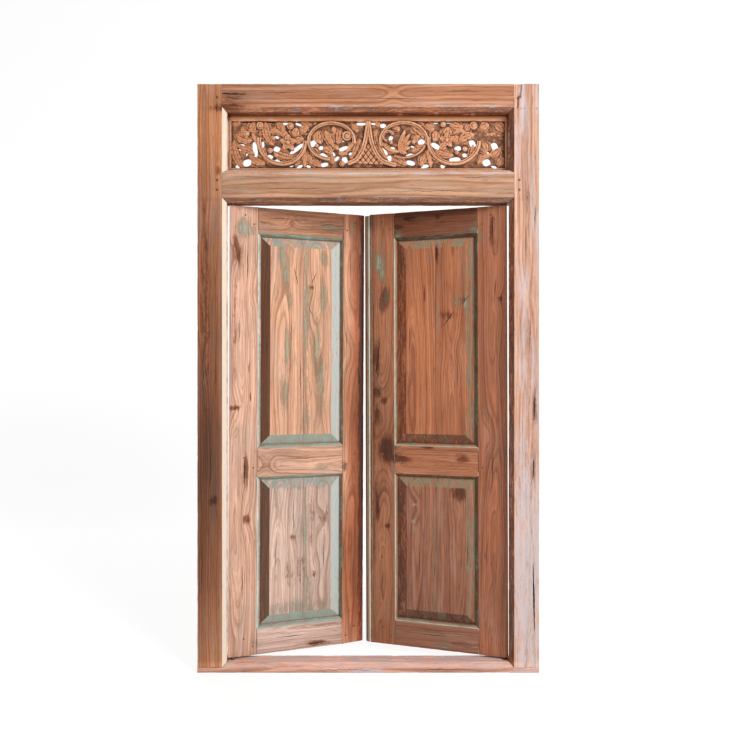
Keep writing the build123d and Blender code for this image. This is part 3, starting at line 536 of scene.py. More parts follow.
def scrollForm(x, z, centreX, centreZ, radiusX, radiusZ, first, last, width):
    dx, dz = x - centreX, z - centreZ
    turn = np.mod(np.degrees(np.arctan2(dz / radiusZ, dx / radiusX)) - first, 360)
    reach = np.hypot(dx, dz)
    middle = reach / np.maximum(np.hypot(dx / radiusX, dz / radiusZ), 1e-6)
    offset = reach - middle
    inside = width / 2 - np.abs(offset)
    past = np.where(turn > (last - first + 360) / 2, turn - 360, np.minimum(turn, last - first - turn))
    inside = np.minimum(inside, np.radians(past) * middle + 1)
    rise = carving["relief"] - 3.6 * groove(offset + 0.14 * width, 4.4)
    if width > 12:
        rise -= 1.5 * groove(offset - 0.26 * width, 3.0)
    return inside, np.maximum(rise, 0.5) * shoulder(inside, 3.0)


# Catmull-Rom line through a few points
def throughPoints(points, cuts=10):
    spread = [points[0], *points, points[-1]]
    line = []
    for k in range(1, len(spread) - 2):
        before, start, end, after = (np.array(spread[k + shift], float) for shift in (-1, 0, 1, 2))
        for cut in range(cuts):
            t = cut / cuts
            bend, twist = 2 * before - 5 * start + 4 * end - after, 3 * start - before - 3 * end + after
            line.append(0.5 * (2 * start + (end - before) * t + bend * t ** 2 + twist * t ** 3))
    line.append(np.array(points[-1], float))
    return line


def ribForm(x, z, points, width):
    nearest, offset = np.full(x.shape, far), np.full(x.shape, far)
    line = throughPoints(points)
    for start, end in zip(line, line[1:]):
        way = end - start
        length = hypot(*way)
        share = np.clip(((x - start[0]) * way[0] + (z - start[1]) * way[1]) / length ** 2, 0, 1)
        away = np.hypot(x - start[0] - share * way[0], z - start[1] - share * way[1])
        side = ((z - start[1]) * way[0] - (x - start[0]) * way[1]) / length
        closer = away < nearest
        nearest = np.where(closer, away, nearest)
        offset = np.where(closer, side, offset)
    inside = width / 2 - nearest
    rise = carving["relief"] - 3.4 * groove(offset, 4.2) - 1.3 * groove(np.abs(offset) - 0.3 * width, 2.8)
    return inside, np.maximum(rise, 0.5) * shoulder(inside, 3.0)


def voluteForm(x, z, centreX, centreZ, radius):
    dx, dz = x - centreX, z - centreZ
    reach = np.hypot(dx, dz)
    inside = radius - reach
    way = 1 if centreX < 0 else -1
    coil = np.mod(reach / (radius * 0.52) - way * np.arctan2(dz, dx) / (2 * pi), 1)
    rise = 7.2 + 0.8 * np.clip(1 - reach / (radius * 0.4), 0, 1)
    rise -= 3.2 * groove(coil - 0.5, 0.5) * np.clip(reach / (radius * 0.22) - 1, 0, 1)
    return inside, np.maximum(rise, 0.5) * shoulder(inside, 3.0)


def archForm(x, z):
    right, left = throughPoints(arch["right"]), throughPoints(arch["left"])
    edges = [np.interp(z, [point[1] for point in reversed(line)], [point[0] for point in reversed(line)])
             for line in (right, left)]
    footRight, footLeft = arch["right"][-1], arch["left"][-1]
    foot = footLeft[1] + (x - footLeft[0]) * (footRight[1] - footLeft[1]) / (footRight[0] - footLeft[0])
    inside = np.minimum(np.minimum(edges[0] - x, x - edges[1]), z - foot)
    inside = np.minimum(inside, arch["right"][0][1] - z)
    rise = np.full(x.shape, arch["rise"])
    for turn in (arch["angle"], -arch["angle"]):
        line = x * cos(radians(turn)) + (z - arch["middle"]) * sin(radians(turn))
        away = np.mod(line + arch["pitch"] / 2, arch["pitch"]) - arch["pitch"] / 2
        rise -= arch["groove"] * groove(away, 5.0) ** 0.8
    return inside, np.clip(rise, 0.8, 8) * shoulder(inside, 2.0)


def flowerForms(x, z, centreX, centreZ, radius, petals):
    forms = []
    for petal in range(petals):
        turn = radians(90 + petal * 360 / petals)
        tip = (centreX + radius * 1.35 * cos(turn), centreZ + radius * 1.35 * sin(turn))
        forms.append(leafForm(x, z, centreX, centreZ, *tip, 0.98 * radius, 0.0, carving["petal"],
                              folded=True))
    inside = radius * 0.36 - np.hypot(x - centreX, z - centreZ)
    forms.append((inside, carving["relief"] * shoulder(inside, radius * 0.3)))
    return forms


def piercingDepth(x, z, centreX, centreZ, halfLength, halfWidth, turn):
    along = (x - centreX) * cos(radians(turn)) + (z - centreZ) * sin(radians(turn))
    across = (z - centreZ) * cos(radians(turn)) - (x - centreX) * sin(radians(turn))
    power = 2.6
    share = (np.abs(along / halfLength) ** power + np.abs(across / halfWidth) ** power) ** (1 / power)
    return (1 - share) * min(halfLength, halfWidth)


# Smooth unevenness: sums of waves in seeded directions
def unevenness(x, z, wave, seed, waves=9):
    rng = np.random.default_rng(seed)
    total = np.zeros(x.shape)
    for turn, phase, stretch in zip(rng.uniform(0, pi, waves), rng.uniform(0, 2 * pi, waves),
                                    rng.uniform(0.6, 1.7, waves)):
        total += np.sin(2 * pi * (x * cos(turn) + z * sin(turn)) / (wave * stretch) + phase)
    return total / waves ** 0.5


def carvedFields(x, z, half, top):
    depth, motif = np.full(x.shape, -far), np.full(x.shape, -far)
    rise = carving["chisel"] * unevenness(x, z, 9.0, 3) + 1.0 + 0.8 * unevenness(x, z, 30.0, 5)
    longer, wider = carving["piercing"]
    for middleX, middleZ, halfLength, halfWidth, turn in piercings:
        hole = piercingDepth(x, z, middleX, middleZ, longer * halfLength, wider * halfWidth, turn)
        depth = np.maximum(depth, hole)
    forms = [archForm(x, z)]
    forms += [leafForm(x, z, *row) for row in leaves]
    forms += [leafForm(x, z, *shell["root"], *tip, shell["flute"], 0.0, carving["petal"], folded=True)
              for tip in shell["tips"]]
    for row in flowers:
        forms += flowerForms(x, z, *row)
    forms += [scrollForm(x, z, *row) for row in scrolls]
    forms += [ribForm(x, z, arch[name], arch["rib"]) for name in ("right", "left")]
    forms += [voluteForm(x, z, *row) for row in volutes]
    # Undergrowth: the same leaves and scrolls again, wider and lower
    for k, (*ends, width, bend, height) in enumerate(leaves):
        inside, low = leafForm(x, z, *ends, carving["underLeaf"] * width, bend, height)
        rise = np.maximum(rise, np.where(inside > 0, 0.55 * low + 0.4 * unevenness(x, z, 14.0, 40 + k), -1))
    for *course, width in scrolls:
        inside = scrollForm(x, z, *course, carving["underScroll"] * width)[0]
        rise = np.maximum(rise, np.where(inside > 0, 2.4 * shoulder(inside, 9.0), -1))
    for *ends, width, bend, height in leaves:
        inside, low = leafForm(x, z, *ends, carving["besideLeaf"] * width, bend, height)
        rise = np.where(inside > 0, np.maximum(rise, 0.92 * low), rise)
    for inside, height in forms:
        motif = np.maximum(motif, inside)
        rise = np.where(inside > 0, np.maximum(rise, height), rise)
    wobble = 0.28 * unevenness(x, z, 17.0, 8) + 0.16 * unevenness(x, z, 6.0, 9)
    rise = np.where(motif > 0, np.minimum(rise + wobble * np.clip(rise / 4, 0, 1), carving["relief"]), rise)
    for slot in slots:
        rise = np.where(ovalReach(x, z, *slot) < 1, np.minimum(rise, carving["slotFloor"]), rise)
    rot = np.clip(1.2 - ovalReach(x, z, *decay), 0, 1)
    rise = rise * (1 - 0.6 * rot * np.clip(0.6 + unevenness(x, z, 8.0, 12), 0, 1))
    rise += rot * (2.4 + 1.5 * unevenness(0.25 * x, z, 7.0, 14) + 0.8 * unevenness(x, z, 8.0, 15))
    border = np.maximum(np.maximum(z - (top - carving["topBorder"]), carving["bottomBorder"] - z),
                        np.abs(x) - (half - carving["sideBorder"]))
    edge = carving["borderRise"] * shoulder(border, 2.2) - 1.6 * groove(border - 5.0, 2.6)
    rise = np.where(border > 0, edge + 0.12 * unevenness(x, z, 21.0, 5), rise)
    return np.maximum(np.maximum(motif, border), -depth), rise


def blurred(field, reach):
    for axis in (0, 1):
        spread = np.pad(field, [(reach, reach) if axis == k else (0, 0) for k in (0, 1)], mode="edge")
        total = np.cumsum(spread, axis=axis)
        total = np.insert(total, 0, 0, axis=axis)
        width = 2 * reach + 1
        field = (np.take(total, range(width, total.shape[axis]), axis=axis)
                 - np.take(total, range(total.shape[axis] - width), axis=axis)) / width
    return field


# Grid points just outside the wood slide onto its edge
def slideToEdge(solid, x, z, rise):
    inside = solid > 0
    best = np.full(solid.shape, 2.0)        # share of the way to a neighbour in the wood, 2 for none
    edgeX, edgeZ, edgeRise = x.copy(), z.copy(), rise.copy()
    for axis, shift in ((0, 1), (0, -1), (1, 1), (1, -1)):
        near = [np.roll(field, shift, axis=axis) for field in (solid, x, z, rise)]
        rim = 0 if shift == 1 else -1
        near[0][(rim, slice(None)) if axis == 0 else (slice(None), rim)] = -1.0
        beside = (~inside) & (near[0] > 0)
        share = np.where(beside, solid / np.where(beside, solid - near[0], 1.0), 3.0)
        better = share < best
        best = np.where(better, share, best)
        edgeX = np.where(better, x + (near[1] - x) * share, edgeX)
        edgeZ = np.where(better, z + (near[2] - z) * share, edgeZ)
        edgeRise = np.where(better, near[3], edgeRise)
    return inside | (best < 2), inside, edgeX, edgeZ, edgeRise


# How much wood there is at a place between the points of the grid
def solidAt(solid, column, row):
    column, row = min(column, solid.shape[1] - 1.001), min(row, solid.shape[0] - 1.001)
    left, low = int(column), int(row)
    shareX, shareZ = column - left, row - low
    lower = solid[low, left] * (1 - shareX) + solid[low, left + 1] * shareX
    upper = solid[low + 1, left] * (1 - shareX) + solid[low + 1, left + 1] * shareX
    return lower * (1 - shareZ) + upper * shareZ


def buildCarving():
    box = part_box("carved_board")
    half = box[1][0] / mm - carving["tongue"]
    lower = box[0][2] / mm + carving["tongue"]
    top = box[1][2] / mm - carving["tongue"] - lower
    groundY, backY = box[0][1] / mm + carving["relief"], box[1][1] / mm
    columns, rows = round(2 * half / carving["step"]), round(top / carving["step"])
    x, z = np.meshgrid(np.linspace(-half, half, columns + 1), np.linspace(0, top, rows + 1))
    solid, rise = carvedFields(x, z, half, top)
    kept, inside, x, z, rise = slideToEdge(solid, x, z, rise)
    cavity = sum(weight * (rise - blurred(rise, reach)) for weight, reach in carving["cavity"])
    # The front: a square of the grid where all its corners are wood, a triangle where three are
    index = np.arange(x.size).reshape(x.shape)
    corners = np.stack([index[:-1, :-1], index[:-1, 1:], index[1:, 1:], index[1:, :-1]], axis=-1)
    corners = corners.reshape(-1, 4)
    valid = kept.ravel()[corners]
    some = inside.ravel()[corners].any(axis=1)
    faces = corners[valid.all(axis=1) & some].tolist()
    three = (valid.sum(axis=1) == 3) & some
    faces += [corner[good].tolist() for corner, good in zip(corners[three], valid[three])]
    # The walls go back from its edges
    sides = {}
    for face in faces:
        for one, other in zip(face, face[1:] + face[:1]):
            if sides.pop((other, one), None) is None:
                sides[(one, other)] = True
    rim = sorted({vertex for pair in sides for vertex in pair})
    points = np.stack([x.ravel(), groundY - rise.ravel(), z.ravel() + lower], axis=-1)
    backPoints = points[rim] * (1, 0, 1) + (0, backY, 0)
    local = {vertex: k for k, vertex in enumerate(rim)}
    pairs = [(local[one], local[other]) for one, other in sides]
    walls = [[other, one, len(points) + first, len(points) + second]
             for (one, other), (first, second) in zip(sides, pairs)]
    # The back is flat
    flat = [Vector((point[0], point[2])) for point in backPoints]
    filled = delaunay_2d_cdt(flat, pairs, [], 0, 1e-4)
    spots = filled[0]
    base = len(points) + len(rim)
    perX, perZ = columns / (2 * half), rows / top
    backFaces = []
    for face in filled[2]:
        middle = sum((spots[k] for k in face), Vector((0, 0))) / len(face)
        if solidAt(solid, (middle.x + half) * perX, (middle.y - lower) * perZ) > 0:
            backFaces.append([base + k for k in face][::-1])
    everything = np.concatenate([points, backPoints, [(spot.x, backY, spot.y) for spot in spots]]) * mm
    allFaces = faces + walls + backFaces
    used = np.zeros(len(everything), bool)
    for face in allFaces:
        used[face] = True
    renumber = np.cumsum(used) - 1
    mesh = bpy.data.meshes.new("carvedBoardDetail")
    mesh.from_pydata(everything[used].tolist(), [], [renumber[face].tolist() for face in allFaces])
    for name, field in (("rise", np.clip(rise / carving["relief"], -0.4, 1)), ("cavity", cavity)):
        values = np.zeros(len(everything), np.float32)
        values[:field.size] = field.ravel()
        mesh.attributes.new(name, "FLOAT", "POINT").data.foreach_set("value", values[used])
    mesh.shade_smooth()
    mesh.set_sharp_from_angle(angle=radians(carving["sharpAngle"]))
    print("carving", len(allFaces), "faces")
    return mesh


# The tongue that lies hidden in the groove of the frame
def buildTongue():
    low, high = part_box("carved_board")
    sheet = bmesh.new()
    rings = []
    for depth in (carving["tongueFront"], carving["tongueBack"]):
        for inset in (0.0, carving["tongue"] * mm):
            west, east, under, over = low[0] + inset, high[0] - inset, low[2] + inset, high[2] - inset
            rings.append([sheet.verts.new((x, low[1] + depth * mm, z))
                          for x, z in ((west, under), (east, under), (east, over), (west, over))])
    for one, other in ((0, 1), (3, 2), (1, 3), (2, 0)):
        for k in range(4):
            sheet.faces.new((rings[one][k - 1], rings[one][k], rings[other][k], rings[other][k - 1]))
    bmesh.ops.recalc_face_normals(sheet, faces=sheet.faces)
    mesh = bpy.data.meshes.new("carvedBoardTongue")
    sheet.to_mesh(mesh)
    return mesh


def carvingMaterial():
    finish = woodOf("carved_board")
    early, late, deep = finish["early"], finish["late"], carving["deep"]
    material, tree = newMaterial("carvedTeak")
    place = put(tree, "ShaderNodeTexCoord").outputs["Object"]
    place = mapped(tree, place, Rotation=(0.0, radians(90), 0.0))
    grain = useGroup(tree, "teakGrain", {"Vector": place, "Pith": (0.02, 0.07, 0.0),
                                         "Rings": finish["rings"], "Waver": 0.1})
    rise, cavity = attribute(tree, "rise"), attribute(tree, "cavity")
    patch = ramp(tree, speckle(tree, place, 22.0, 4.0, 0.6), 0.35, 0.65, 0.4, 1.0)
    # Painted shade, with some dirt: the sunk ground and the hollows darken
    sunkShade = maths(tree, "MAXIMUM", ramp(tree, rise, 0.52, 0.02, 0.0, 0.85), ramp(tree, cavity, 0.1, -1.7))
    # Painted shade from ambient occlusion, laid on in the deep colour
    hidden = put(tree, "ShaderNodeAmbientOcclusion", {"Distance": 0.014}, samples=6).outputs["AO"]
    base = layered(tree, early,
                   (ramp(tree, grain["Ring"], 0.1, 0.95, 0.0, 0.35), late),
                   (ramp(tree, grain["Streak"], 0.4, 0.7, 0.0, 0.4), late),
                   # crests lighter: partly rubbed wood, partly painted highlight
                   (times(tree, ramp(tree, cavity, 0.2, 2.4), patch), carving["crestWearAndHighlight"]),
                   (times(tree, sunkShade, 0.92), deep),
                   (ramp(tree, hidden, 0.92, 0.42, 0.0, 0.97), deep),
                   # painted shadow: the blind slots' floors near black
                   (ramp(tree, rise, -0.15, -0.3), carving["pit"]))
    height = weighed(tree, (grain["Fibre"], 1.0), (grain["Pore"], -0.6))
    closeMaterial(tree, base, ramp(tree, cavity, -1.0, 1.5, 0.75, 0.48), height, 0.35, 0.001, specular=0.35)
    return material


def placePiece(name, mesh, body, material):
    piece = addObject(name, mesh)
    mesh.materials.append(material)
    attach(piece, body)
    return piece


def replaceCarving():
    material = carvingMaterial()
    for name, mesh in (("carvedOrnament", buildCarving()), ("carvedTongue", buildTongue())):
        piece = placePiece(name, mesh, bodyOf["carved_board"], material)
        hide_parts("carved_board")
    print("carved board in place")


# Marks of age, and a few of painted light and shade, in millimetres: middle, half width, half height, strength. On
# a leaf the middle is taken from its hinge edge and lower end, on the frame from the middle of the doorway and the
# underside.
marks = {
    "left": {
        "paint": [
            (55, 1750, 25, 34, 1.0), (93, 1744, 10, 17, 0.8), (516, 1781, 6, 25, 0.9),
            (415, 1780, 60, 14, 0.7), (160, 1776, 46, 9, 0.5), (123, 1836, 16, 8, 0.6),
            (214, 1650, 14, 44, 0.95), (228, 1580, 13, 60, 0.95), (392, 1645, 16, 29, 0.9),
            (312, 1450, 6, 300, 1.0), (322, 1420, 14, 150, 0.5), (313, 1180, 5, 240, 0.9),
            (386, 1480, 13, 60, 0.95), (243, 1460, 8, 34, 0.8), (184, 1492, 8, 34, 0.5),
            (100, 1498, 8, 21, 0.5), (234, 1256, 13, 80, 0.85), (358, 1260, 13, 120, 0.85),
            (222, 1080, 13, 60, 0.85), (372, 1100, 13, 120, 0.85), (312, 951, 18, 50, 0.75),
            (378, 1049, 12, 21, 0.5), (379, 765, 33, 13, 0.7), (475, 765, 10, 14, 0.6),
            (138, 824, 12, 8, 0.5), (291, 503, 12, 42, 0.5), (102, 51, 12, 13, 0.8),
            (474, 608, 8, 34, 0.4), (312, 420, 4, 300, 0.95), (330, 230, 20, 70, 0.5),
            (262, 240, 12, 90, 0.35), (290, 175, 150, 24, 0.6), (290, 690, 150, 14, 0.6),
            (190, 620, 12, 60, 0.5), (500, 1450, 12, 60, 0.35),
        ],
        "dark": [
            (151, 1778, 33, 6, 0.6), (22, 1688, 8, 34, 0.7), (68, 756, 6, 60, 0.9),
            (21, 1014, 25, 8, 0.8), (362, 19, 42, 9, 0.8), (478, 760, 8, 19, 0.6),
            (34, 1640, 13, 40, 0.7), (25, 1400, 10, 200, 0.3), (70, 560, 14, 16, 0.8),
            (300, 340, 18, 60, 0.4), (250, 315, 26, 50, 0.3), (351, 311, 9, 9, 0.8),
            (260, 470, 9, 9, 0.7), (377, 540, 9, 9, 0.6), (335, 1520, 9, 9, 0.7), (250, 1782, 9, 9, 0.6),
            (338, 560, 9, 60, 0.5), (398, 545, 8, 70, 0.5), (335, 460, 8, 30, 0.6),
            # The long stripe at 550 down the free edge is partly weathering, partly the bead's painted shadow
            (550, 900, 9, 1000, 0.9), (20, 900, 12, 90, 0.3),
        ],
    },
    "right": {
        "paint": [
            (528, 1633, 22, 42, 1.0), (517, 1582, 14, 27, 0.9), (508, 1472, 18, 36, 0.5),
            (526, 1711, 8, 21, 0.6), (318, 1636, 12, 21, 0.45), (271, 1562, 8, 25, 0.45),
            (198, 1458, 22, 27, 0.45), (169, 1444, 8, 19, 0.9), (106, 1718, 14, 18, 0.6),
            (253, 21, 22, 18, 0.8), (460, 53, 20, 21, 0.4), (561, 142, 8, 42, 0.5),
            (86, 1005, 12, 13, 0.5), (265, 880, 14, 14, 0.7), (446, 1742, 16, 16, 0.9),
            (128, 1742, 18, 16, 0.9), (124, 1600, 10, 190, 0.4), (452, 1000, 10, 260, 0.35),
            (285, 1390, 8, 190, 0.4), (300, 400, 8, 170, 0.45),
        ],
        "dark": [
            (396, 1812, 25, 13, 0.6), (449, 1779, 20, 13, 0.5), (508, 1472, 20, 42, 0.8),
            (336, 1493, 6, 36, 0.5), (285, 1660, 5, 42, 0.8), (539, 1221, 12, 70, 0.7),
            (541, 1074, 14, 19, 0.9), (511, 1040, 12, 14, 0.9), (542, 985, 10, 44, 0.6),
            (500, 831, 28, 46, 0.95), (450, 796, 40, 13, 0.9), (331, 844, 24, 6, 0.7),
            (182, 803, 24, 13, 0.8), (539, 597, 6, 90, 0.7), (497, 505, 9, 9, 0.9),
            (193, 660, 28, 30, 0.85), (235, 1400, 26, 16, 0.6), (170, 1460, 16, 12, 0.6),
            (60, 1740, 10, 60, 0.6), (30, 1460, 9, 9, 0.8), (280, 1812, 10, 9, 0.8),
            (560, 1000, 10, 700, 0.35),
        ],
        "pale": [
            (380, 600, 9, 9, 0.8), (385, 530, 8, 8, 0.8), (380, 497, 7, 7, 0.7), (150, 822, 16, 4, 0.8),
        ],
    },
    "frame": {
        "paint": [(-640, 30, 30, 20, 0.2)],
        "dark": [
            (-560, 2266, 60, 9, 0.9), (-540, 2300, 30, 12, 0.4), (-618, 690, 14, 16, 0.8),
            (-652, 1450, 14, 380, 0.35), (-600, 2010, 14, 16, 0.5), (0, 2262, 500, 8, 0.5),
            (-500, 2258, 120, 10, 0.6), (667, 1060, 7, 70, 0.6), (664, 820, 8, 80, 0.6),
            (664, 300, 10, 180, 0.5), (640, 1900, 14, 30, 0.3),
        ],
        "pale": [
            # The long band at 2004 pales the transom's upper slope: painted light
            (622, 260, 5, 34, 0.8), (608, 2310, 14, 34, 0.35), (0, 2004, 560, 5, 0.5),
            (0, 8, 60, 9, 0.7), (635, 420, 60, 420, 0.6), (640, 1250, 30, 380, 0.2),
            (-150, 2268, 260, 7, 0.4), (330, 2268, 260, 7, 0.4),
        ],
    },
}
# Knots: middle, size
knots = {
    "left": [
        (32, 1640, 13), (20, 1015, 10), (70, 560, 14), (351, 311, 9), (260, 470, 9), (377, 540, 9),
        (335, 1520, 9), (250, 1782, 9), (150, 790, 12), (90, 1500, 10), (500, 1250, 12),
    ],
    "right": [
        (541, 1074, 12), (511, 1040, 10), (500, 831, 24), (497, 505, 8), (30, 1460, 8), (280, 1812, 9),
        (70, 900, 12), (380, 600, 9), (200, 1250, 10),
    ],
    "frame": [
        (-618, 690, 12), (-600, 2010, 12), (-640, 1250, 14), (640, 1500, 14), (650, 620, 12),
        (100, 2310, 16),
    ],
}
# Lighter and darker stretches: middle, half width, half height, change
tones = {
    "left": [
        # The first three rows darken the left leaf's free edge, wider towards the bottom: partly weathered wood,
        # partly the painted shadow of the right leaf's bead
        (556, 1590, 44, 280, -0.64), (556, 965, 58, 280, -0.66), (556, 340, 84, 280, -0.64),
        (60, 1500, 30, 300, 0.12), (290, 1400, 60, 200, 0.08), (40, 1650, 26, 60, -0.25),
        (290, 150, 200, 60, -0.08),
    ],
    "right": [
        # The row at 1830 darkens the top of the leaf under the transom: painted shadow
        (560, 900, 12, 900, -0.3), (20, 900, 14, 900, -0.25), (290, 1830, 250, 16, -0.25),
        (300, 1300, 110, 200, 0.1), (500, 850, 40, 80, -0.3), (290, 300, 150, 200, -0.08),
        (60, 1150, 30, 200, 0.12),
    ],
    "frame": [
        (-640, 1350, 60, 480, -0.42), (-640, 600, 60, 400, -0.55), (-640, 2250, 50, 120, 0.12),
        # The row at 1900 darkens the transom's underside: painted shade
        (640, 2200, 40, 200, -0.08), (-560, 2290, 70, 40, -0.3), (0, 1900, 500, 8, -0.25),
        # The row at 30 lightens the sill's upper slope: painted light
        (630, 1300, 30, 400, 0.1), (-675, 600, 10, 500, -0.15), (0, 30, 900, 9, 0.4),
    ],
}
# Splits: middle, half length, half width, lean sideways for each unit of length
splits = {
    "left": [
        (72, 1600, 60, 1.6, 0.02), (80, 1180, 26, 1.6, 0.05), (84, 1060, 22, 2.4),
        (25, 1014, 14, 2.2, 1.9), (62, 757, 56, 3.2), (270, 1560, 40, 1.4, -0.2),
        (345, 1560, 26, 1.6, 0.5), (330, 1420, 30, 1.2, -0.4), (250, 1330, 60, 1.2, 0.05),
        (288, 1150, 70, 1.2), (262, 560, 60, 1.4), (190, 420, 70, 1.4, 0.02), (390, 380, 60, 1.3),
        (150, 1270, 50, 1.1), (500, 1620, 70, 1.2), (486, 1300, 60, 1.2, 0.02), (476, 420, 70, 1.4),
        (40, 1330, 60, 1.2), (55, 300, 80, 1.5),
    ],
    "right": [
        (58, 1760, 55, 2.2, 0.03), (48, 1500, 40, 1.6, -0.05), (536, 1225, 75, 3.0, -0.12),
        (285, 1660, 46, 2.6), (235, 1385, 34, 2.4, -0.7), (168, 1462, 22, 2.2, -0.9),
        (539, 597, 60, 2.0), (330, 1120, 60, 1.2), (200, 1150, 60, 1.2), (360, 360, 60, 1.4),
        (160, 420, 70, 1.3), (60, 760, 70, 1.5), (84, 420, 60, 1.3), (520, 250, 60, 1.4),
        (400, 1300, 70, 1.2),
    ],
    "frame": [
        (664, 1060, 55, 2.2, 0.03), (661, 820, 50, 2.2, 0.03), (664, 300, 140, 2.4, -0.02),
        (-632, 820, 90, 1.5), (-650, 1700, 120, 1.5), (-612, 1180, 90, 1.2), (632, 1720, 90, 1.3),
        (648, 1350, 80, 1.3), (-668, 420, 120, 1.6), (-662, 1150, 140, 1.4), (668, 1820, 60, 1.6),
    ],
}
# Splits in the rails run sideways
railSplits = {
    "left": [
        (362, 18, 44, 2.2), (400, 1788, 32, 1.2, 0.1), (200, 1800, 40, 1.2), (300, 800, 60, 1.2),
        (250, 60, 60, 1.3),
    ],
    "right": [(320, 845, 26, 1.8), (400, 1815, 40, 1.6), (250, 1790, 40, 1.2), (300, 60, 60, 1.3)],
    "frame": [
        (-545, 2320, 60, 3.0, -0.03), (-350, 2326, 90, 1.3, 0.01), (120, 2300, 120, 1.3),
        (380, 2330, 90, 1.2), (-300, 1940, 120, 1.3), (250, 1930, 140, 1.3), (430, 1985, 70, 1.3),
        (-100, 12, 120, 1.4), (300, 14, 120, 1.4),
    ],
}
# How paint, grime and pale residue lie on the slopes that look left, right, up and down in the picture. Besides
# real paint and residue this paints light and shade: slopes that look left are mostly darker and those that look
# right paler, as under a light from the right.
slopes = {
    "left": {
        "bevel": [(0.1, 1.1, 0.0), (0.12, 0.0, 0.68), (0.4, 0.05, 0.4), (0.7, 0.05, 0.6)],
        "moulding": [(0.6, 0.8, 0.0), (0.3, 0.0, 1.0), (0.8, 0.0, 0.9), (0.9, 0.4, 0.1)],
    },
    "right": {
        "bevel": [(0.12, 0.5, 0.0), (0.3, 0.3, 0.3), (0.3, 0.05, 0.4), (0.3, 0.65, 0.1)],
        "moulding": [(0.45, 0.6, 0.1), (0.2, 0.0, 1.0), (0.25, 0.0, 0.9), (0.3, 0.7, 0.15)],
    },
    # The bead's right half is made pale: partly white paint, partly painted highlight on its lit side
    "bead": {
        "bevel": [(0.3, 0.1, 0.4), (0.2, 0.0, 0.85), (0.0, 0.0, 0.0), (0.0, 0.0, 0.0)],
        "moulding": [(0.35, 0.3, 0.35), (0.15, 0.0, 1.0), (0.0, 0.2, 0.45), (0.0, 0.3, 0.3)],
    },
    "frame": {
        "moulding": [(0.0, 0.7, 0.0), (0.0, 0.0, 1.0), (0.0, 0.0, 0.3), (0.0, 0.45, 0.15)],
        "jamb": [(0.0, 0.75, 0.0), (0.0, 0.0, 0.78), (0.0, 0.3, 0.5), (0.0, 0.6, 0.0)],
    },
}
age = {
    "cut": 14.0, "fine": 9.0,               # pitch of the cuts along a piece and across it
    "arris": 1.3,                           # how far an arris is rounded
    "arrisShare": {"frame": 1.6, "leaf": 1.0, "board": 0.4},
    "shortest": 40, "flattest": 20,         # length and angle from which an edge counts as an arris
    "wear": 1.4,                            # how deep it is rubbed away, in patches of these sizes
    "wearShare": {"frame": 1.0, "leaf": 1.0, "board": 0.2},
    "waves": (55.0, 17.0),
    "level": 0.12, "steep": 0.42,           # slopes at which a bevel and a moulding begin
    "wornEdge": 470,                        # the left leaf's free edge is worn from here on
    "opening": (570.5, 35, 2254),           # half width, foot and head of the frame's two openings
    "mouldingDepth": 8,
    "frameFront": -30.0,
    "paintShare": 0.86,
    "eye": 0.0011,                          # how far the rings part round a knot, for its size
    "sharpAngle": 28,
}


# The solid's mesh with its arrises worn down and cut fine enough to carry the marks of age
def wornMesh(piece, space):
    sheet = bmesh.new()
    sheet.from_mesh(nodes[piece].data)
    sheet.transform(space.inverted() @ nodes[piece].matrix_world)
    if space.determinant() < 0:
        bmesh.ops.reverse_faces(sheet, faces=sheet.faces)
    bmesh.ops.remove_doubles(sheet, verts=sheet.verts, dist=0.01)
    bmesh.ops.dissolve_limit(sheet, angle_limit=radians(1), verts=sheet.verts, edges=sheet.edges)
    layer = sheet.verts.layers.float.new("arris")
    corners = np.array([vertex.co[:] for vertex in sheet.verts])
    low, high = corners.min(axis=0), corners.max(axis=0)
    sharp = [edge for edge in sheet.edges if len(edge.link_faces) == 2 and edge.is_convex
             and edge.calc_length() > age["shortest"] and edge.calc_face_angle() > radians(age["flattest"])]
    kind = "board" if piece.endswith("board") else "frame" if bodyOf[piece] == "frame" else "leaf"
    made = bmesh.ops.bevel(sheet, geom=sharp, offset=age["arris"] * age["arrisShare"][kind], segments=2,
                           profile=0.5, affect="EDGES", clamp_overlap=True)
    for vertex in made["verts"]:
        if vertex.is_valid:
            vertex[layer] = 1.0
    longest = max(range(3), key=lambda axis: high[axis] - low[axis])
    for axis in (0, 2):
        count = int((high[axis] - low[axis]) / age["cut" if axis == longest else "fine"])
        way = Vector([1.0 if k == axis else 0.0 for k in range(3)])
        for k in range(1, count):
            spot = way * (low[axis] + (high[axis] - low[axis]) * k / count)
            bmesh.ops.bisect_plane(sheet, geom=sheet.verts[:] + sheet.edges[:] + sheet.faces[:], dist=0.02,
                                   plane_co=spot, plane_no=way)
    sheet.normal_update()
    rubbed = age["wear"] * age["wearShare"][kind]
    for vertex in sheet.verts:
        if vertex[layer] > 0:
            rub = 0.5
            for wave in age["waves"]:
                rub += 0.5 * noise.noise(vertex.co / wave)
            vertex.co -= vertex.normal * rubbed * max(0.0, rub) ** 2 * vertex[layer]
        vertex.co = [min(max(part, least), most) for part, least, most in zip(vertex.co, low, high)]
    bmesh.ops.triangulate(sheet, faces=[face for face in sheet.faces if len(face.verts) > 4])
    mesh = bpy.data.meshes.new(piece + "Worn")
    sheet.to_mesh(mesh)
    sheet.free()
    return mesh


# Soft oval marks, joined into one field
def ovalField(rows, places, power, join=np.add, start=0.0):
    total = np.full(len(places), start)
    for *oval, strength in rows:
        away = ovalReach(places[:, 0], places[:, 2], *oval)
        total = join(total, strength * np.exp(-0.5 * away ** (2 * power)))
    return total


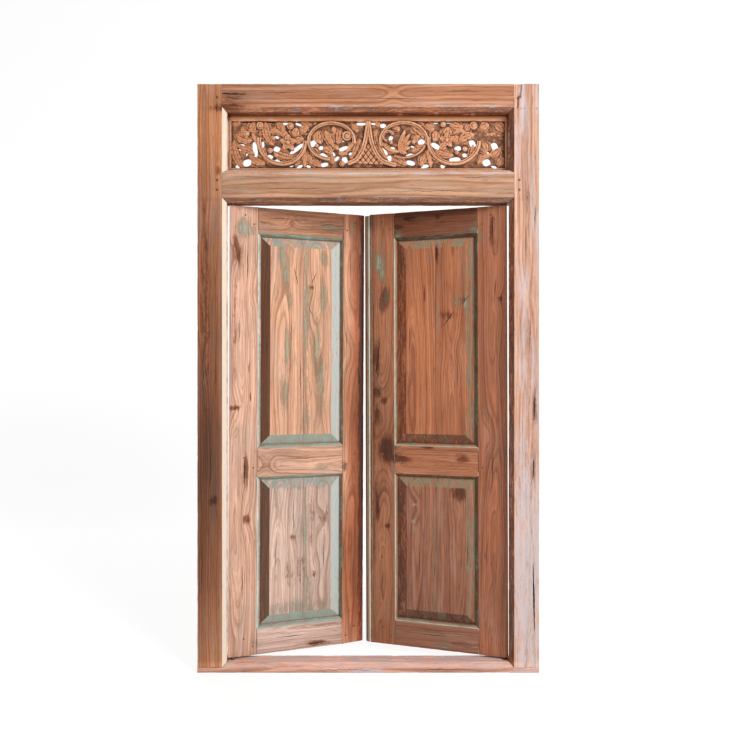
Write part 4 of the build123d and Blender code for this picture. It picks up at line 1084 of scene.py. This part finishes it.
# Which way a sloping face looks in the picture, or flat
def slopeOf(body, normal, openingSide):
    x = -normal[:, 0] if body == "right" else normal[:, 0]
    slope = np.hypot(normal[:, 0], normal[:, 2])
    way = np.where(np.abs(x) > np.abs(normal[:, 2]), np.where(x > 0, "right", "left"),
                   np.where(normal[:, 2] > 0, "top", "bottom"))
    kind = np.where(slope > age["steep"], "moulding", "bevel")
    kind = np.where((slope < age["level"]) | (normal[:, 1] > -0.3), "flat", kind)
    return np.where(openingSide & (slope > 0.9), "jamb", kind), way


def readOut(items, name, kind=float, width=1):
    values = np.empty(len(items) * width, kind)
    items.foreach_get(name, values)
    return values.reshape(-1, width) if width > 1 else values


def ageFields(piece, body, mesh):
    places = readOut(mesh.vertices, "co", width=3)[readOut(mesh.loops, "vertex_index", int)]
    sides = readOut(mesh.polygons, "loop_total", int)
    normals = np.repeat(readOut(mesh.polygons, "normal", width=3), sides, axis=0)
    across, upright = places[:, 0], places[:, 2]
    facing = np.clip(-normals[:, 1] * 3, 0, 1)
    fields = {name: ovalField(marks[body].get(name, []), places, 1.3, np.maximum) * facing
              for name in ("paint", "dark", "pale")}
    fields["paint"] *= age["paintShare"]
    halfWidth, floor, ceiling = age["opening"]
    opening = (body == "frame") & (np.abs(across) < halfWidth) & (upright > floor) & (upright < ceiling)
    kind, way = slopeOf(body, normals, opening)
    kind = np.where((body == "left") & (across > age["wornEdge"]) & (kind == "bevel"), "flat", kind)
    for slopeKind, ways in slopes["bead" if piece.endswith("bead") else body].items():
        for direction, strengths in zip(("left", "right", "top", "bottom"), ways):
            here = (kind == slopeKind) & (way == direction)
            for name, strength in zip(("paint", "dark", "pale"), strengths):
                # Painted shade: deeper into a leaf's moulding the pale share falls and the dark share grows
                if slopeKind == "moulding" and body != "frame" and name != "paint":
                    inward = np.clip(np.abs(places[:, 1]) / age["mouldingDepth"], 0, 1)
                    strength = strength * (1.1 - inward) if name == "pale" else strength + 0.5 * inward
                kept = fields[name] * (name != "pale") * 0.7
                fields[name] = np.where(here, np.maximum(kept, strength), fields[name])
    fields["tone"] = np.clip(ovalField(tones[body], places, 1.5, start=1.0), 0.25, 1.4)
    eyes = [(x, z, 1.6 * size, 4.5 * size, age["eye"] * size) for x, z, size in knots[body]]
    fields["eye"] = ovalField(eyes, places, 1.0)
    return fields, places


def liesDown(piece):
    return piece.endswith("_rail") or piece == "sill"


# A body's own space is in millimetres: the leaves are un-turned, so that they lie like the frame
def agedPiece(piece, seed):
    body = leafOf(piece) or "frame"
    space = (leafMatrix(body) if leafOf(piece) else Matrix.Identity(4)) @ Matrix.Scale(mm, 4)
    mesh = wornMesh(piece, space)
    fields, places = ageFields(piece, body, mesh)
    reach = (places.min(axis=0), places.max(axis=0))
    for name, field in fields.items():
        mesh.attributes.new(name, "FLOAT", "CORNER").data.foreach_set("value", field.astype(np.float32))
    if liesDown(piece):
        places = np.stack([places[:, 2], places[:, 1], -places[:, 0]], axis=-1)
    board = mesh.attributes.new("board", "FLOAT_VECTOR", "CORNER")
    board.data.foreach_set("vector", (places * mm).astype(np.float32).ravel())
    if space.determinant() < 0:
        mesh.flip_normals()
    mesh.transform(space)
    mesh.shade_smooth()
    mesh.set_sharp_from_angle(angle=radians(age["sharpAngle"]))
    material = agedTeak(piece, body, seed, reach)
    made = placePiece(piece + "Aged", mesh, bodyOf[piece], material)
    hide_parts(piece)
    return len(mesh.polygons)


def dressPieces():
    count = 0
    for seed, piece in enumerate(sorted(nodes)):
        if piece.endswith("pegs"):
            nodes[piece].data.materials.clear()
            nodes[piece].data.materials.append(pegMaterial(piece, seed))
        elif piece != "carved_board":
            count += agedPiece(piece, seed)
    print("worn pieces", count, "faces")


# Colours of what clings to the wood. Where the slopes table drives them, grime and stain also paint shade, and
# residue and lime paint light.
films = {"green": (0.15, 0.165, 0.10), "turquoise": (0.28, 0.48, 0.385), "grimeAndShade": (0.05, 0.026, 0.015),
         "stainAndShade": (0.40, 0.25, 0.17), "split": (0.018, 0.010, 0.007),
         "residueAndLight": {"left": (0.46, 0.49, 0.465), "right": (0.32, 0.25, 0.15), "frame": (0.63, 0.52, 0.51)},
         "limeAndHighlight": {"left": (0.68, 0.92, 0.84), "right": (0.66, 0.74, 0.66), "frame": (0.86, 0.72, 0.57)}}


def splitMask(tree, place, piece, body, reach):
    low, high = reach
    lying = liesDown(piece)
    front = age["frameFront"] if body == "frame" else 0.0
    mask = None
    for x, z, halfLength, halfWidth, *lean in (railSplits if lying else splits)[body]:
        if low[0] < x < high[0] and low[2] < z < high[2]:
            middle = (z, front, -x) if lying else (x, front, z)
            line = useGroup(tree, "splitLine", {
                "Vector": place, "Middle": [part * mm for part in middle], "Half length": halfLength * mm,
                "Half width": halfWidth * mm, "Tilt": sum(lean) * (-1 if lying else 1)})["Mask"]
            mask = line if mask is None else maths(tree, "MAXIMUM", mask, line)
    return mask


def agedTeak(piece, body, seed, reach):
    finish = woodOf(piece)
    late = finish["late"]
    material, tree = newMaterial(piece + "Teak")
    place = attribute(tree, "board", "Vector")
    mark = {name: attribute(tree, name) for name in ("paint", "dark", "pale", "tone", "eye")}
    rng = np.random.default_rng(seed)
    across = 2 if liesDown(piece) else 0
    pithX = -(reach[0][across] + reach[1][across]) / 2 * mm + float(rng.uniform(-0.03, 0.03))
    pith = (pithX, float(rng.uniform(0.02, 0.05)), float(rng.uniform(-3, 3)))
    grain = useGroup(tree, "teakGrain", {"Vector": place, "Pith": pith, "Rings": finish["rings"],
                                         "Waver": 0.085, "Eye": mark["eye"]})
    grimeAndShade, chalkAndLight, paint = (useGroup(tree, "clingingFilm", {"Vector": place, "Share": mark[name]})
                           for name in ("dark", "pale", "paint"))
    wear = useGroup(tree, "arrisWearAndCornerShade", {"Vector": place})
    bleach = speckle(tree, place, (30.0, 30.0, 3.0), 5.0, 0.65)
    base = layered(tree, finish["early"],
                   (ramp(tree, grain["Ring"], 0.1, 0.95), late),
                   (ramp(tree, grain["Streak"], 0.44, 0.66, 0.0, 0.6), late),
                   (ramp(tree, grain["Fibre"], 0.35, 0.75, 0.0, 0.3), late),
                   (times(tree, grain["Pore"], 0.5), toned(late, 0.4)),
                   (ramp(tree, bleach, 0.45, 0.72, 0.0, finish["bloom"]), finish["bloomColour"]))
    shade = times(tree, ramp(tree, grain["Cloud"], 0.3, 0.7, 0.8, 1.15, smooth=False), mark["tone"])
    chalkAndLightColour = layered(tree, films["residueAndLight"][body],
                          (ramp(tree, mark["pale"], 0.6, 1.0), films["limeAndHighlight"][body]))
    thick = times(tree, paint["Thick"], ramp(tree, grain["Fibre"], 0.44, 0.58, 0.15, 1.0))
    base = layered(tree, scaled(tree, base, shade),
                   (ramp(tree, mark["tone"], 0.95, 0.4), woodLook["warm"][body], "MULTIPLY"),
                   # grime and stain: real dirt, and painted shade where the dark field comes from slopes that look
                   # away from the light
                   (grimeAndShade["Film"], films["stainAndShade"], "MULTIPLY"),
                   (times(tree, grimeAndShade["Thick"], 0.6), films["grimeAndShade"]),
                   # chalk: real residue, and painted light where the pale field comes from slopes that look
                   # towards the light
                   (times(tree, chalkAndLight["Film"], 0.9), chalkAndLightColour),
                   (times(tree, paint["Film"], 0.52), films["green"]),
                   (times(tree, thick, 0.78), films["turquoise"]),
                   # painted shade in corners, from ambient occlusion
                   (ramp(tree, wear["CornerShade"], 0.3, 0.9, 0.0, 0.85), toned(late, 0.2)))
    relief = [(grain["Fibre"], 0.6), (grain["Pore"], -0.9), (grain["Ring"], -0.5), (paint["Film"], 0.5)]
    line = splitMask(tree, place, piece, body, reach)
    if line is not None:
        base = layered(tree, base, (times(tree, line, 0.88), films["split"]))
        relief.append((line, -2.0))
    closeMaterial(tree, base, teakRoughness(tree, grain["Fibre"]), weighed(tree, *relief), 0.55, 0.0014)
    return material


# Stage: pale floor and backdrop, soft light from the front right
stageLook = {
    "paper": (0.30, 0.30, 0.30), "glow": 0.78, "sky": 0.36,
    "front": -6.0, "bendStart": 1.6, "bend": 1.2, "wall": 6.0, "halfWidth": 9.0, "aim": (0.0, 0.0, 1.1),
    "keyPlace": (3.5, -3.0, 3.9), "keySize": 2.0, "keyPower": 215.0,
    "fillPlace": (-2.6, -3.6, 1.8), "fillSize": 3.0, "fillPower": 12.0,
}


def buildStage():
    sheet = bmesh.new()
    start, bend = stageLook["bendStart"], stageLook["bend"]
    profile = [(stageLook["front"], 0.0), (start, 0.0)]
    turns = [radians(turn) for turn in range(9, 91, 9)]
    profile += [(start + bend * sin(turn), bend - bend * cos(turn)) for turn in turns]
    profile += [(start + bend, stageLook["wall"])]
    ends = (-stageLook["halfWidth"], stageLook["halfWidth"])
    rows = [[sheet.verts.new((x, y, z)) for x in ends] for y, z in profile]
    for near, beyond in zip(rows, rows[1:]):
        sheet.faces.new((near[0], near[1], beyond[1], beyond[0])).smooth = True
    mesh = bpy.data.meshes.new("paperSweep")
    sheet.to_mesh(mesh)
    paper, tree = newMaterial("palePaper")
    shader = put(tree, "ShaderNodeBsdfPrincipled", {"Base Color": stageLook["paper"], "Roughness": 0.9,
                                                    "Emission Color": white,
                                                    "Emission Strength": stageLook["glow"]})
    put(tree, "ShaderNodeOutputMaterial", {"Surface": shader})
    mesh.materials.append(paper)
    sweep = addObject("paperSweep", mesh)
    for name in ("key", "fill"):
        lamp = bpy.data.lights.new(name + "Light", "AREA")
        lamp.shape = "DISK"
        lamp.size = stageLook[name + "Size"]
        lamp.energy = stageLook[name + "Power"]
        light = addObject(name + "Light", lamp)
        light.location = stageLook[name + "Place"]
        aim = Vector(stageLook["aim"]) - light.location
        light.rotation_euler = aim.to_track_quat("-Z", "Y").to_euler()
    world = bpy.data.worlds.new("studioSky")
    bpy.context.scene.world = world
    world.use_nodes = True
    sky = world.node_tree.nodes["Background"]
    feed(world.node_tree, sky.inputs["Color"], white)
    feed(world.node_tree, sky.inputs["Strength"], stageLook["sky"])
    bpy.context.scene.view_settings.view_transform = "Standard"
    print("stage and lights set")


setCamera()
for makeGroup in (teakGrainGroup, arrisWearAndShadeGroup, filmGroup, splitGroup):
    makeGroup()
replaceCarving()
dressPieces()
buildStage()
